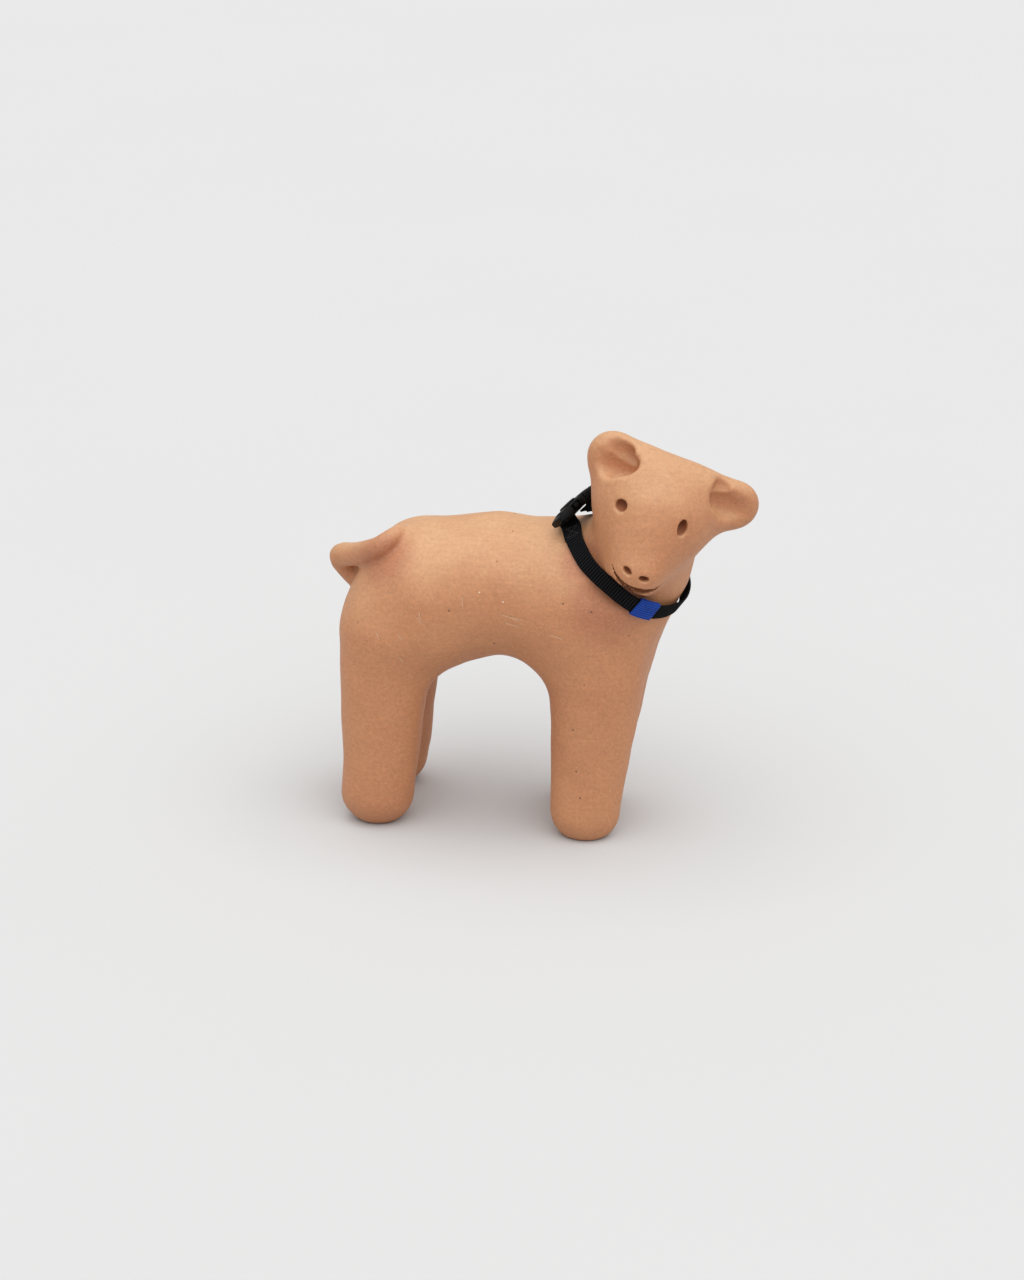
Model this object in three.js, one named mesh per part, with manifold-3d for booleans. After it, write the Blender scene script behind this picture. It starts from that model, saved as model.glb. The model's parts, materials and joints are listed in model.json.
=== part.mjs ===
// A hand-built terracotta dog in the manner of a haniwa figure, wearing a webbing collar.
// The clay dog is one fired piece on four legs, its head turned to its right and tilted.
// The collar is a strap, a two-part side-release buckle on the nape and a ribbon tag in front.
// Millimetres, +Z up, +X towards the chest, -Y towards the side that the dog looks to.
import * as THREE from "three";
import { mergeVertices } from "three/addons/utils/BufferGeometryUtils.js";
import Module from "manifold-3d";

const wasm = await Module();
wasm.setup();

const vec = (x, y, z) => new THREE.Vector3(x, y, z);
const radians = THREE.MathUtils.degToRad;

// Where the middle of the four soles stands, seen from the middle of the whole part's box
const STANCE_X = -24.7;
const STANCE_Y = 2.55;

// Trunk: three balls joined into one round body, centres in the middle plane
const RUMP = { at: vec(-36, 0, 132.5), radius: 43 };
const LOIN = { at: vec(0, 0, 141.5), radius: 35.3 };
const CHEST = { at: vec(50.3, 0, 135), radius: 38 };
const TRUNK_BLEND = 14;

// Legs: tapered round posts, a little flatter across the dog
const HIP_SPREAD = 18;
const FOOT_SPREAD = 22;
const LEG_FLATNESS = 0.88;
const LEG_BLEND = 20;
const HIND_LEG = { hipX: -59, hipZ: 111.5, hipRadius: 25.8, footX: -64.5, footZ: 19.5, footRadius: 20.5 };
const FORE_LEG = { hipX: 59.5, hipZ: 93.5, hipRadius: 26, footX: 54.5, footZ: 16.5, footRadius: 19.3 };

// The feet on the far side stand further back and further out
const FAR_HIND_FOOT = { back: 2.5, out: 11 };
const FAR_FORE_FOOT = { back: 4.5, out: 3 };

// The feet are pressed flat at this height, and the edge of each sole is rounded
const GROUND = 1.8;
const SOLE_ROUNDING = 1.5;

// Head: its middle, the way it faces and the size of its masses
const HEAD_AT = vec(90.5, -17, 196.5);
const HEAD_YAW = 80;
const HEAD_PITCH = 12;
const HEAD_ROLL = 22.5;
const SKULL_RADII = vec(32, 23.5, 25);
const FACE = { from: vec(0, -2, 2), to: vec(-0.5, -22.5, 27), fromRadius: 28, toRadius: 15.8 };
const FACE_BLEND = 18;
const EARS = [
  { root: vec(-16, 13, -2), tip: vec(-31.3, 16, -11), tipRadius: 14 },
  { root: vec(17, 12, -2), tip: vec(39.3, 14.2, -6.5), tipRadius: 14.4 },
];
const EAR_ROOT_RADIUS = 16.5;
const EAR_FLATNESS = 0.72;
const EAR_JOIN = 10;
const EAR_BLEND = 14;

// Thumbed hollows: a bowl and a deeper pit in each ear, and a press under the chin
const HOLLOWS = [
  { at: vec(-31, 19, 3), turn: -12, tip: 15, radii: vec(14, 9, 6.5) },
  { at: vec(-29.5, 22, 0.5), turn: -12, tip: 30, radii: vec(10, 4.5, 8) },
  { at: vec(35, 18.5, 5), turn: -8, tip: 15, radii: vec(13.5, 8, 6.5) },
  { at: vec(27, 23, 5), turn: -8, tip: 35, radii: vec(6, 3.5, 8) },
  { at: vec(-10, -42.4, 34), turn: 0, tip: 0, radii: vec(20, 10, 13) },
];
const HOLLOW_BLEND = 5;
const NECK_TOP = { at: vec(7.6, -38, -8), radius: 29.3 };
const NECK_ROOT_RADIUS = 41.4;
const NECK_BLEND = 22;
const HEAD_BLEND = 16;

// Face openings in the head's own directions: across, up and forward
const EYE_RADIUS = 3.2;
const EYE_DEPTH = 7;
const EYES = [
  { at: vec(-24.2, 5.6, 23.3), into: vec(0.4, 0.1, -1) },
  { at: vec(10.5, 8.6, 28.1), into: vec(-0.35, 0.1, -1) },
];
const NOSTRIL_RADIUS = 2.1;
const NOSTRIL_DEPTH = 4;
const NOSTRILS = [
  { at: vec(-9.3, -20.2, 40.4), into: vec(0.25, 0.1, -1) },
  { at: vec(0.4, -20.1, 42.5), into: vec(0, 0.1, -1) },
];
const MOUTH = { left: -15.5, right: 12.5, cornerUp: -24.5, lipDip: -27.4, chinDip: -31, depth: 6, front: 48 };

// Tail: a rolled coil from the root, round a bend and forward onto the haunch, with its radii
const TAIL = [
  { at: vec(-78, 7, 135.5), radius: 8 },
  { at: vec(-84, 7, 141), radius: 7.6 },
  { at: vec(-88, 2, 150), radius: 7.2 },
  { at: vec(-76.5, -9, 156.5), radius: 6.9 },
  { at: vec(-63.5, -20, 164), radius: 6.2 },
  { at: vec(-56, -19, 169.5), radius: 5.5 },
  { at: vec(-52.5, -11, 170.5), radius: 4.8 },
];
const TAIL_STEPS = 3;
const TAIL_BLEND = 3;

// Collar: a flat strap round the neck in a tilted plane
const COLLAR_AT = vec(73.5, -3.5, 162);
const COLLAR_AXIS = vec(0.604, -0.134, 0.786).normalize();
const COLLAR_RADIUS = 37.4;
const COLLAR_SLACK = 3.6;
const COLLAR_SLACK_AT = 40;
const STRAP_WIDTH = 10;
const STRAP_THICKNESS = 1.2;
const STRAP_GAP = 0.7;
const STRAP_CLEAR = 1.1;
const STRAP_FROM = 240;
const STRAP_TO = 470;
const STRAP_STOPS = 28;
const STRAP_STEPS = 74;

// Near end: over the shoulder to the buckle's near half
const STRAP_NEAR = [vec(42.8, -10.3, 181.8), vec(44.2, -13.4, 181.5), vec(48, -24.2, 177.6)];

// Far end: under the buckle's far half, in the buckle's own directions, its last share turned level
const STRAP_FAR = [vec(14, 12, -7.4), vec(9, 6, -5)];
const STRAP_TURN = 0.09;

// The strap lies flat on the clay over this first share, and mostly round the collar's axis further on
const STRAP_ON_CLAY = 0.04;
const STRAP_ROUND = 0.8;

// Buckle: a ten millimetre side-release buckle, lying across the nape
const BUCKLE_AT = vec(45.2, -9.6, 191.9);
const BUCKLE_ALONG = vec(0.522, 0.734, 0.436).normalize();
const BUCKLE_OUT = vec(-0.719, 0.103, 0.687).normalize();
const BUCKLE_LENGTH = 30;
const BUCKLE_WIDTH = 15.5;
const BUCKLE_THICKNESS = 6.4;
const BUCKLE_SEAM = 5;
const PART_GAP = 0.3;

// Tag: a ribbon folded over the strap under the chin
const TAG_FRAMES = [22, 26];
const TAG_THICKNESS = 0.8;
const TAG_LIFT = 1.1;

// Mesh fineness: grid planes across the clay, and how far a facet may stand off the true surface
const COARSE = 9;
const FINE = 5.2;
const FACET_ERROR = 0.32;
const SHORTEST_SPLIT = 3;
const LEVEL_WITHIN = 0.05;
const BARELY_INSIDE = -0.01;

// Two distances joined with a rounded fillet of the given width
function softMin(a, b, width) {
  const share = Math.max(width - Math.abs(a - b), 0) / width;
  return Math.min(a, b) - (share * share * width) / 4;
}

function softMax(a, b, width) {
  return -softMin(-a, -b, width);
}

// The skin stretched over two balls, which may be flattened along one direction
function roundCone(from, to, fromRadius, toRadius, flatAxis = null, flatness = 1) {
  const stretch = (p) => (flatAxis ? p.addScaledVector(flatAxis, p.dot(flatAxis) * (1 / flatness - 1)) : p);
  const along = stretch(to.clone().sub(from));
  const span = along.lengthSq();
  const taper = fromRadius - toRadius;
  const slope = span - taper * taper;
  return (p) => {
    const q = stretch(p.clone().sub(from));
    const start = q.dot(along);
    const end = start - span;
    const aside = q.multiplyScalar(span).addScaledVector(along, -start).lengthSq();
    const startSquared = start * start * span;
    const endSquared = end * end * span;
    const limit = Math.sign(taper) * taper * taper * aside;
    let distance = (Math.sqrt((aside * slope) / span) + start * taper) / span - fromRadius;
    if (Math.sign(end) * slope * endSquared > limit) {
      distance = Math.sqrt(aside + endSquared) / span - toRadius;
    } else if (Math.sign(start) * slope * startSquared < limit) {
      distance = Math.sqrt(aside + startSquared) / span - fromRadius;
    }
    return distance * Math.sqrt(flatness);
  };
}

function ellipsoid(at, axes, radii) {
  return (p) => {
    const q = p.clone().sub(at);
    const local = vec(q.dot(axes[0]), q.dot(axes[1]), q.dot(axes[2]));
    const once = local.divide(radii);
    const scale = once.length();
    return (scale * (scale - 1)) / Math.max(once.divide(radii).length(), 1e-9);
  };
}

// The head's own directions: across (to the viewer's right), up and forward
function headDirections() {
  const yaw = radians(HEAD_YAW);
  const pitch = radians(HEAD_PITCH);
  const roll = radians(HEAD_ROLL);
  const level = vec(Math.cos(yaw), -Math.sin(yaw), 0);
  const across = vec(Math.sin(yaw), Math.cos(yaw), 0);
  const forward = level.clone().multiplyScalar(Math.cos(pitch)).add(vec(0, 0, -Math.sin(pitch)));
  const up = level.clone().multiplyScalar(Math.sin(pitch)).add(vec(0, 0, Math.cos(pitch)));
  const tiltedAcross = across.clone().multiplyScalar(Math.cos(roll)).addScaledVector(up, -Math.sin(roll));
  const tiltedUp = up.clone().multiplyScalar(Math.cos(roll)).addScaledVector(across, Math.sin(roll));
  return [tiltedAcross, tiltedUp, forward];
}

const HEAD_AXES = headDirections();

function headTurn(local) {
  const [across, up, forward] = HEAD_AXES;
  const turned = across.clone().multiplyScalar(local.x);
  return turned.addScaledVector(up, local.y).addScaledVector(forward, local.z);
}

function headPoint(local) {
  return headTurn(local).add(HEAD_AT);
}

// Trunk, legs and neck, as one distance
function bodyDistance() {
  const hindTrunk = roundCone(RUMP.at, LOIN.at, RUMP.radius, LOIN.radius);
  const foreTrunk = roundCone(LOIN.at, CHEST.at, LOIN.radius, CHEST.radius);
  const sideways = vec(0, 1, 0);
  const legs = [];
  for (const side of [-1, 1]) {
    for (const [leg, far] of [[HIND_LEG, FAR_HIND_FOOT], [FORE_LEG, FAR_FORE_FOOT]]) {
      const moved = side > 0 ? far : { back: 0, out: 0 };
      const hip = vec(leg.hipX, side * HIP_SPREAD, leg.hipZ);
      const foot = vec(leg.footX - moved.back, side * FOOT_SPREAD + moved.out, leg.footZ);
      legs.push(roundCone(hip, foot, leg.hipRadius, leg.footRadius, sideways, LEG_FLATNESS));
    }
  }
  const neck = roundCone(CHEST.at, headPoint(NECK_TOP.at), NECK_ROOT_RADIUS, NECK_TOP.radius);
  return (p) => {
    let distance = softMin(hindTrunk(p), foreTrunk(p), TRUNK_BLEND);
    for (const leg of legs) {
      distance = softMin(distance, leg(p), LEG_BLEND);
    }
    return softMin(distance, neck(p), NECK_BLEND);
  };
}

// Skull, muzzle and the two ear flaps
function headDistance() {
  const skull = ellipsoid(HEAD_AT, HEAD_AXES, SKULL_RADII);
  const face = roundCone(headPoint(FACE.from), headPoint(FACE.to), FACE.fromRadius, FACE.toRadius);
  const flaps = EARS.map((ear) => {
    const root = headPoint(ear.root);
    return roundCone(root, headPoint(ear.tip), EAR_ROOT_RADIUS, ear.tipRadius, HEAD_AXES[2], EAR_FLATNESS);
  });
  return (p) => {
    const ears = softMin(flaps[0](p), flaps[1](p), EAR_JOIN);
    return softMin(softMin(skull(p), face(p), FACE_BLEND), ears, EAR_BLEND);
  };
}

// The thumbed hollows, each turned in the face's plane and tipped backwards
function hollowDistance() {
  const [across, up, forward] = HEAD_AXES;
  const hollows = HOLLOWS.map((hollow) => {
    const turn = radians(hollow.turn);
    const tip = radians(hollow.tip);
    const long = across.clone().multiplyScalar(Math.cos(turn)).addScaledVector(up, Math.sin(turn));
    const short = up.clone().multiplyScalar(Math.cos(turn)).addScaledVector(across, -Math.sin(turn));
    const rim = short.clone().multiplyScalar(Math.cos(tip)).addScaledVector(forward, Math.sin(tip));
    const inward = forward.clone().multiplyScalar(Math.cos(tip)).addScaledVector(short, -Math.sin(tip));
    return ellipsoid(headPoint(hollow.at), [long, rim, inward], hollow.radii);
  });
  return (p) => hollows.reduce((least, hollow) => Math.min(least, hollow(p)), Infinity);
}

function tailDistance() {
  const curve = new THREE.CatmullRomCurve3(TAIL.map((stop) => stop.at), false, "catmullrom");
  const count = (TAIL.length - 1) * TAIL_STEPS;
  const radiusAt = (step) => {
    const whole = Math.min(Math.floor(step / TAIL_STEPS), TAIL.length - 2);
    return THREE.MathUtils.lerp(TAIL[whole].radius, TAIL[whole + 1].radius, step / TAIL_STEPS - whole);
  };
  const pieces = [];
  for (let step = 0; step < count; step += 1) {
    const from = curve.getPoint(step / count);
    const to = curve.getPoint((step + 1) / count);
    pieces.push(roundCone(from, to, radiusAt(step), radiusAt(step + 1)));
  }
  return (p) => pieces.reduce((least, piece) => Math.min(least, piece(p)), Infinity);
}

function makeClayDistance() {
  const body = bodyDistance();
  const head = headDistance();
  const hollow = hollowDistance();
  const tail = tailDistance();
  return (p) => {
    const headed = softMin(body(p), head(p), HEAD_BLEND);
    const tailed = softMin(headed, tail(p), TAIL_BLEND);
    const hollowed = softMax(tailed, -hollow(p), HOLLOW_BLEND);
    return softMax(hollowed, GROUND - p.z, SOLE_ROUNDING);
  };
}

const clayDistance = makeClayDistance();

function slopeAt(p) {
  const reach = 0.2;
  const slope = vec(0, 0, 0);
  for (const axis of ["x", "y", "z"]) {
    const ahead = p.clone();
    const behind = p.clone();
    ahead[axis] += reach;
    behind[axis] -= reach;
    slope[axis] = (clayDistance(ahead) - clayDistance(behind)) / (2 * reach);
  }
  return slope;
}

// Moves a point onto the clay's surface
function settle(p) {
  for (let round = 0; round < 3; round += 1) {
    const slope = slopeAt(p);
    p.addScaledVector(slope, -clayDistance(p) / slope.lengthSq());
  }
  if (Math.abs(p.z - GROUND) < LEVEL_WITHIN) {
    p.z = GROUND;
  }
  return p;
}

// Grid planes along one axis, from [start, end, step] stretches that follow on
function planes(stretches) {
  const list = [stretches[0][0]];
  for (const [start, end, step] of stretches) {
    const count = Math.round((end - start) / step);
    for (let i = 1; i <= count; i += 1) {
      list.push(start + ((end - start) * i) / count);
    }
  }
  return list;
}

// One vertex for each grid cell that the surface passes through, joined by quads
function surfaceNet(xs, ys, zs) {
  const grid = [xs, ys, zs];
  const size = grid.map((list) => list.length);
  const nodeOf = (n) => (n[0] * size[1] + n[1]) * size[2] + n[2];
  const placeOf = (n) => vec(xs[n[0]], ys[n[1]], zs[n[2]]);
  const values = new Float64Array(size[0] * size[1] * size[2]);
  const everyNode = (visit) => {
    for (let i = 0; i < size[0]; i += 1) {
      for (let j = 0; j < size[1]; j += 1) {
        for (let k = 0; k < size[2]; k += 1) {
          visit([i, j, k]);
        }
      }
    }
  };
  everyNode((n) => {
    values[nodeOf(n)] = clayDistance(placeOf(n));
  });
  // Where the signs round a grid square alternate, the outer corner nearest the clay counts as clay
  let alternating = true;
  while (alternating) {
    alternating = false;
    everyNode((n) => {
      for (let axis = 0; axis < 3; axis += 1) {
        const first = (axis + 1) % 3;
        const second = (axis + 2) % 3;
        if (n[first] + 1 >= size[first] || n[second] + 1 >= size[second]) {
          continue;
        }
        const square = [[0, 0], [1, 0], [1, 1], [0, 1]].map(([aheadFirst, aheadSecond]) => {
          const corner = n.slice();
          corner[first] += aheadFirst;
          corner[second] += aheadSecond;
          return nodeOf(corner);
        });
        const outside = square.filter((node) => values[node] >= 0);
        const apart = square.indexOf(outside[1]) - square.indexOf(outside[0]);
        if (outside.length === 2 && apart === 2) {
          const nearest = values[outside[0]] < values[outside[1]] ? outside[0] : outside[1];
          values[nearest] = BARELY_INSIDE;
          alternating = true;
        }
      }
    });
  }
  const points = [];
  const cells = new Map();
  const cornerOf = (n, corner) => n.map((place, axis) => place + ((corner >> axis) & 1));
  const cellPoint = (n) => {
    const key = nodeOf(n);
    if (cells.has(key)) {
      return cells.get(key);
    }
    const middle = vec(0, 0, 0);
    let crossings = 0;
    for (let corner = 0; corner < 8; corner += 1) {
      for (const bit of [1, 2, 4]) {
        if (corner & bit) {
          continue;
        }
        const near = cornerOf(n, corner);
        const far = cornerOf(n, corner | bit);
        const nearValue = values[nodeOf(near)];
        const farValue = values[nodeOf(far)];
        if (nearValue < 0 !== farValue < 0) {
          middle.add(placeOf(near).lerp(placeOf(far), nearValue / (nearValue - farValue)));
          crossings += 1;
        }
      }
    }
    points.push(settle(middle.divideScalar(crossings)));
    cells.set(key, points.length - 1);
    return points.length - 1;
  };
  const triangles = [];
  everyNode((n) => {
    for (let axis = 0; axis < 3; axis += 1) {
      const next = n.slice();
      next[axis] += 1;
      if (next[axis] >= size[axis]) {
        continue;
      }
      const inside = values[nodeOf(n)] < 0;
      if (inside === values[nodeOf(next)] < 0) {
        continue;
      }
      const first = (axis + 1) % 3;
      const second = (axis + 2) % 3;
      const ring = [[1, 1], [0, 1], [0, 0], [1, 0]].map(([backFirst, backSecond]) => {
        const cell = n.slice();
        cell[first] -= backFirst;
        cell[second] -= backSecond;
        return cellPoint(cell);
      });
      const [a, b, c, d] = inside ? ring : ring.reverse();
      if (points[a].distanceTo(points[c]) < points[b].distanceTo(points[d])) {
        triangles.push([a, b, c], [a, c, d]);
      } else {
        triangles.push([a, b, d], [b, c, d]);
      }
    }
  });
  return { points, triangles };
}

// Splits the edges whose middle stands too far off the surface, and moves the middle onto it
function refine({ points, triangles }) {
  const middles = new Map();
  const middleOf = (a, b) => {
    const key = Math.min(a, b) * 1e6 + Math.max(a, b);
    if (!middles.has(key)) {
      const middle = points[a].clone().lerp(points[b], 0.5);
      const wide = points[a].distanceTo(points[b]) > SHORTEST_SPLIT;
      const split = wide && Math.abs(clayDistance(middle)) > FACET_ERROR;
      if (split) {
        points.push(settle(middle));
      }
      middles.set(key, split ? points.length - 1 : -1);
    }
    return middles.get(key);
  };
  const finer = [];
  for (const triangle of triangles) {
    const splits = triangle.map((corner, i) => middleOf(corner, triangle[(i + 1) % 3]));
    const count = splits.filter((middle) => middle >= 0).length;
    const lead = count === 1 ? splits.findIndex((middle) => middle >= 0)
      : (splits.findIndex((middle) => middle < 0) + 1) % 3;
    const [a, b, c] = [0, 1, 2].map((i) => triangle[(i + lead) % 3]);
    const [ab, bc, ca] = [0, 1, 2].map((i) => splits[(i + lead) % 3]);
    if (count === 0) {
      finer.push(triangle);
    } else if (count === 1) {
      finer.push([a, ab, c], [ab, b, c]);
    } else if (count === 2) {
      finer.push([ab, b, bc]);
      if (points[a].distanceTo(points[bc]) < points[ab].distanceTo(points[c])) {
        finer.push([a, ab, bc], [a, bc, c]);
      } else {
        finer.push([a, ab, c], [ab, bc, c]);
      }
    } else {
      finer.push([a, ab, ca], [ab, b, bc], [ca, bc, c], [ab, bc, ca]);
    }
  }
  return { points, triangles: finer };
}

function geometryOf(points, triangles) {
  const geometry = new THREE.BufferGeometry();
  geometry.setAttribute("position", new THREE.Float32BufferAttribute(points.flatMap((p) => p.toArray()), 3));
  geometry.setIndex(triangles.flat());
  return geometry;
}

// Closed solids for cutting and joining
function solidOf(geometry) {
  const bare = geometry.clone();
  bare.deleteAttribute("normal");
  bare.deleteAttribute("uv");
  const merged = mergeVertices(bare, 1e-4);
  const vertProperties = new Float32Array(merged.attributes.position.array);
  const triVerts = new Uint32Array(merged.index.array);
  return new wasm.Manifold(new wasm.Mesh({ numProp: 3, vertProperties, triVerts }));
}

function geometryFrom(solid) {
  const mesh = solid.getMesh();
  const geometry = new THREE.BufferGeometry();
  geometry.setAttribute("position", new THREE.BufferAttribute(new Float32Array(mesh.vertProperties), 3));
  geometry.setIndex(new THREE.BufferAttribute(new Uint32Array(mesh.triVerts), 1));
  return geometry;
}

// A round-ended hole, pushed in from just outside the surface
function pokedHole({ at, into }, radius, depth) {
  const outside = 4;
  const geometry = new THREE.CapsuleGeometry(radius, outside + depth - radius, 3, 10);
  geometry.translate(0, (depth - radius - outside) / 2, 0);
  const direction = headTurn(into).normalize();
  geometry.applyQuaternion(new THREE.Quaternion().setFromUnitVectors(vec(0, 1, 0), direction));
  const mouth = headPoint(at);
  geometry.translate(mouth.x, mouth.y, mouth.z);
  return solidOf(geometry);
}

// How far forward the muzzle reaches at a place on the face
function faceFront(across, up) {
  let forward = MOUTH.front;
  for (let round = 0; round < 30; round += 1) {
    forward -= 0.9 * clayDistance(headPoint(vec(across, up, forward)));
  }
  return forward;
}

// The smile: a crescent cut to an even depth round the front of the muzzle
function mouthCut() {
  const middle = (MOUTH.left + MOUTH.right) / 2;
  const crescent = new THREE.Shape();
  crescent.moveTo(MOUTH.left, MOUTH.cornerUp);
  crescent.quadraticCurveTo(middle, 2 * MOUTH.lipDip - MOUTH.cornerUp, MOUTH.right, MOUTH.cornerUp);
  crescent.quadraticCurveTo(middle, 2 * MOUTH.chinDip - MOUTH.cornerUp, MOUTH.left, MOUTH.cornerUp);
  const geometry = new THREE.ExtrudeGeometry(crescent, { depth: 1, bevelEnabled: false, curveSegments: 9 });
  const position = geometry.attributes.position;
  for (let i = 0; i < position.count; i += 1) {
    const front = faceFront(position.getX(i), position.getY(i));
    const forward = position.getZ(i) > 0.5 ? front + MOUTH.depth : front - MOUTH.depth;
    const p = headPoint(vec(position.getX(i), position.getY(i), forward));
    position.setXYZ(i, p.x, p.y, p.z);
  }
  return solidOf(geometry);
}

function clayDog() {
  const xs = planes([[-104, -50, FINE], [-50, 38, COARSE], [38, 146, FINE]]);
  const ys = planes([[-74, -46, FINE], [-46, 60, FINE * 1.2]]);
  const zs = planes([[-1.5, 9, 3.5], [9, 125, COARSE], [125, 240, FINE]]);
  let mesh = surfaceNet(xs, ys, zs);
  for (let round = 0; round < 2; round += 1) {
    mesh = refine(mesh);
  }
  let solid = solidOf(geometryOf(mesh.points, mesh.triangles));
  for (const eye of EYES) {
    solid = solid.subtract(pokedHole(eye, EYE_RADIUS, EYE_DEPTH));
  }
  for (const nostril of NOSTRILS) {
    solid = solid.subtract(pokedHole(nostril, NOSTRIL_RADIUS, NOSTRIL_DEPTH));
  }
  return geometryFrom(solid.subtract(mouthCut()));
}

// The strap's middle line round the neck, its outward direction and its width direction
function collarPlane() {
  const across = vec(0, 1, 0).cross(COLLAR_AXIS).normalize();
  return [across, COLLAR_AXIS.clone().cross(across)];
}

function collarPoint(degrees) {
  const [across, aside] = collarPlane();
  const angle = radians(degrees);
  const spoke = across.multiplyScalar(Math.cos(angle)).addScaledVector(aside, Math.sin(angle));
  const loose = Math.max(0, Math.cos(radians(degrees - COLLAR_SLACK_AT)));
  let radius = COLLAR_RADIUS + COLLAR_SLACK * loose ** 4;
  for (let round = 0; round < 20; round += 1) {
    const p = COLLAR_AT.clone().addScaledVector(spoke, radius);
    radius += Math.max(0, STRAP_CLEAR - clayDistance(p));
  }
  return COLLAR_AT.clone().addScaledVector(spoke, radius);
}

function buckleTurn() {
  const sideways = BUCKLE_OUT.clone().cross(BUCKLE_ALONG).normalize();
  const out = BUCKLE_ALONG.clone().cross(sideways);
  return new THREE.Matrix4().makeBasis(BUCKLE_ALONG, sideways, out).setPosition(BUCKLE_AT);
}

// The strap runs from under the buckle's near half, round the front, to under its far half
function strapPath() {
  const turn = buckleTurn();
  const points = STRAP_NEAR.slice();
  for (let i = 0; i <= STRAP_STOPS; i += 1) {
    points.push(collarPoint(STRAP_FROM + ((STRAP_TO - STRAP_FROM) * i) / STRAP_STOPS));
  }
  for (const stop of STRAP_FAR) {
    points.push(stop.clone().applyMatrix4(turn));
  }
  return new THREE.CatmullRomCurve3(points, false, "centripetal");
}

function strapFrames() {
  const path = strapPath();
  const steps = Array.from({ length: STRAP_STEPS + 1 }, (_, i) => i);
  const nearby = (list, i, reach) => {
    const found = [];
    for (let step = i - reach; step <= i + reach; step += 1) {
      found.push(list[Math.min(Math.max(step, 0), STRAP_STEPS)]);
    }
    return found;
  };
  const facing = steps.map((i) => {
    const share = i / STRAP_STEPS;
    const at = path.getPointAt(share);
    const spoke = at.clone().sub(COLLAR_AT);
    spoke.addScaledVector(COLLAR_AXIS, -spoke.dot(COLLAR_AXIS)).normalize();
    const round = STRAP_ROUND * Math.min(Math.max((share - STRAP_ON_CLAY) / STRAP_TURN, 0), 1);
    const level = Math.max(1 - (1 - share) / STRAP_TURN, 0);
    return slopeAt(at).normalize().lerp(spoke, round).lerp(BUCKLE_OUT, level);
  });
  const frames = steps.map((i) => {
    const at = path.getPointAt(i / STRAP_STEPS);
    const along = path.getTangentAt(i / STRAP_STEPS);
    const out = vec(0, 0, 0);
    nearby(facing, i, 3).forEach((way) => out.add(way));
    out.addScaledVector(along, -out.dot(along)).normalize();
    return { at, along, out, side: out.clone().cross(along) };
  });
  const lifts = frames.map(({ at, out, side }, i) => {
    const behind = i >= TAG_FRAMES[0] - 1 && i <= TAG_FRAMES[1] + 1 ? TAG_LIFT : 0;
    let lift = 0;
    for (let round = 0; round < 3; round += 1) {
      let missing = 0;
      for (const share of [-0.5, -0.25, 0, 0.25, 0.5]) {
        const inner = at.clone().addScaledVector(side, share * STRAP_WIDTH);
        inner.addScaledVector(out, lift - STRAP_THICKNESS / 2);
        missing = Math.max(missing, STRAP_GAP + behind - clayDistance(inner));
      }
      lift += missing;
    }
    return lift;
  });
  const highest = lifts.map((_, i) => Math.max(...nearby(lifts, i, 2)));
  return frames.map(({ at, along, out, side }, i) => {
    const lift = nearby(highest, i, 2).reduce((sum, one) => sum + one, 0) / 5;
    return { at: at.clone().addScaledVector(out, lift), along, out, side };
  });
}

// A closed band with a rectangular section, carried along frames
function band(frames, width, low, high) {
  const points = frames.flatMap(({ at, out, side }) =>
    [[-1, low], [1, low], [1, high], [-1, high]].map(([way, height]) =>
      at.clone().addScaledVector(side, (way * width) / 2).addScaledVector(out, height)));
  const triangles = [];
  for (let i = 0; i + 1 < frames.length; i += 1) {
    for (let edge = 0; edge < 4; edge += 1) {
      const a = i * 4 + edge;
      const b = i * 4 + ((edge + 1) % 4);
      triangles.push([a, b, a + 4], [b, b + 4, a + 4]);
    }
  }
  const last = (frames.length - 1) * 4;
  triangles.push([0, 2, 1], [0, 3, 2], [last, last + 1, last + 2], [last, last + 2, last + 3]);
  return geometryOf(points, triangles);
}

const frames = strapFrames();

function collarStrap() {
  return band(frames, STRAP_WIDTH, -STRAP_THICKNESS / 2, STRAP_THICKNESS / 2);
}

// The ribbon is a flat sleeve round the strap
function ribbonTag() {
  const [first, last] = TAG_FRAMES;
  const stretch = frames.slice(first, last + 1);
  const inside = STRAP_THICKNESS / 2 + PART_GAP;
  const outside = inside + TAG_THICKNESS;
  const shell = solidOf(band(stretch, STRAP_WIDTH + 2 * (PART_GAP + TAG_THICKNESS), -outside, outside));
  const longer = frames.slice(first - 1, last + 2);
  const bore = solidOf(band(longer, STRAP_WIDTH + 2 * PART_GAP, -inside, inside));
  return geometryFrom(shell.subtract(bore));
}

// Plates and blocks in the buckle's own directions: along, sideways and out
function plate(outline, low, high) {
  const shape = new THREE.Shape(outline.map(([x, y]) => new THREE.Vector2(x, y)));
  const geometry = new THREE.ExtrudeGeometry(shape, { depth: high - low, bevelEnabled: false });
  geometry.translate(0, 0, low);
  return solidOf(geometry);
}

function block(x0, x1, y0, y1, z0, z1) {
  return plate([[x0, y0], [x1, y0], [x1, y1], [x0, y1]], z0, z1);
}

// A side profile, in along and out, run across the width
function profile(outline, width) {
  const shape = new THREE.Shape(outline.map(([x, z]) => new THREE.Vector2(x, z)));
  const geometry = new THREE.ExtrudeGeometry(shape, { depth: width, bevelEnabled: false });
  geometry.translate(0, 0, -width / 2);
  geometry.rotateX(Math.PI / 2);
  return solidOf(geometry);
}

const HALF_LENGTH = BUCKLE_LENGTH / 2;
const HALF_WIDTH = BUCKLE_WIDTH / 2;
const HALF_THICK = BUCKLE_THICKNESS / 2;

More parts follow.
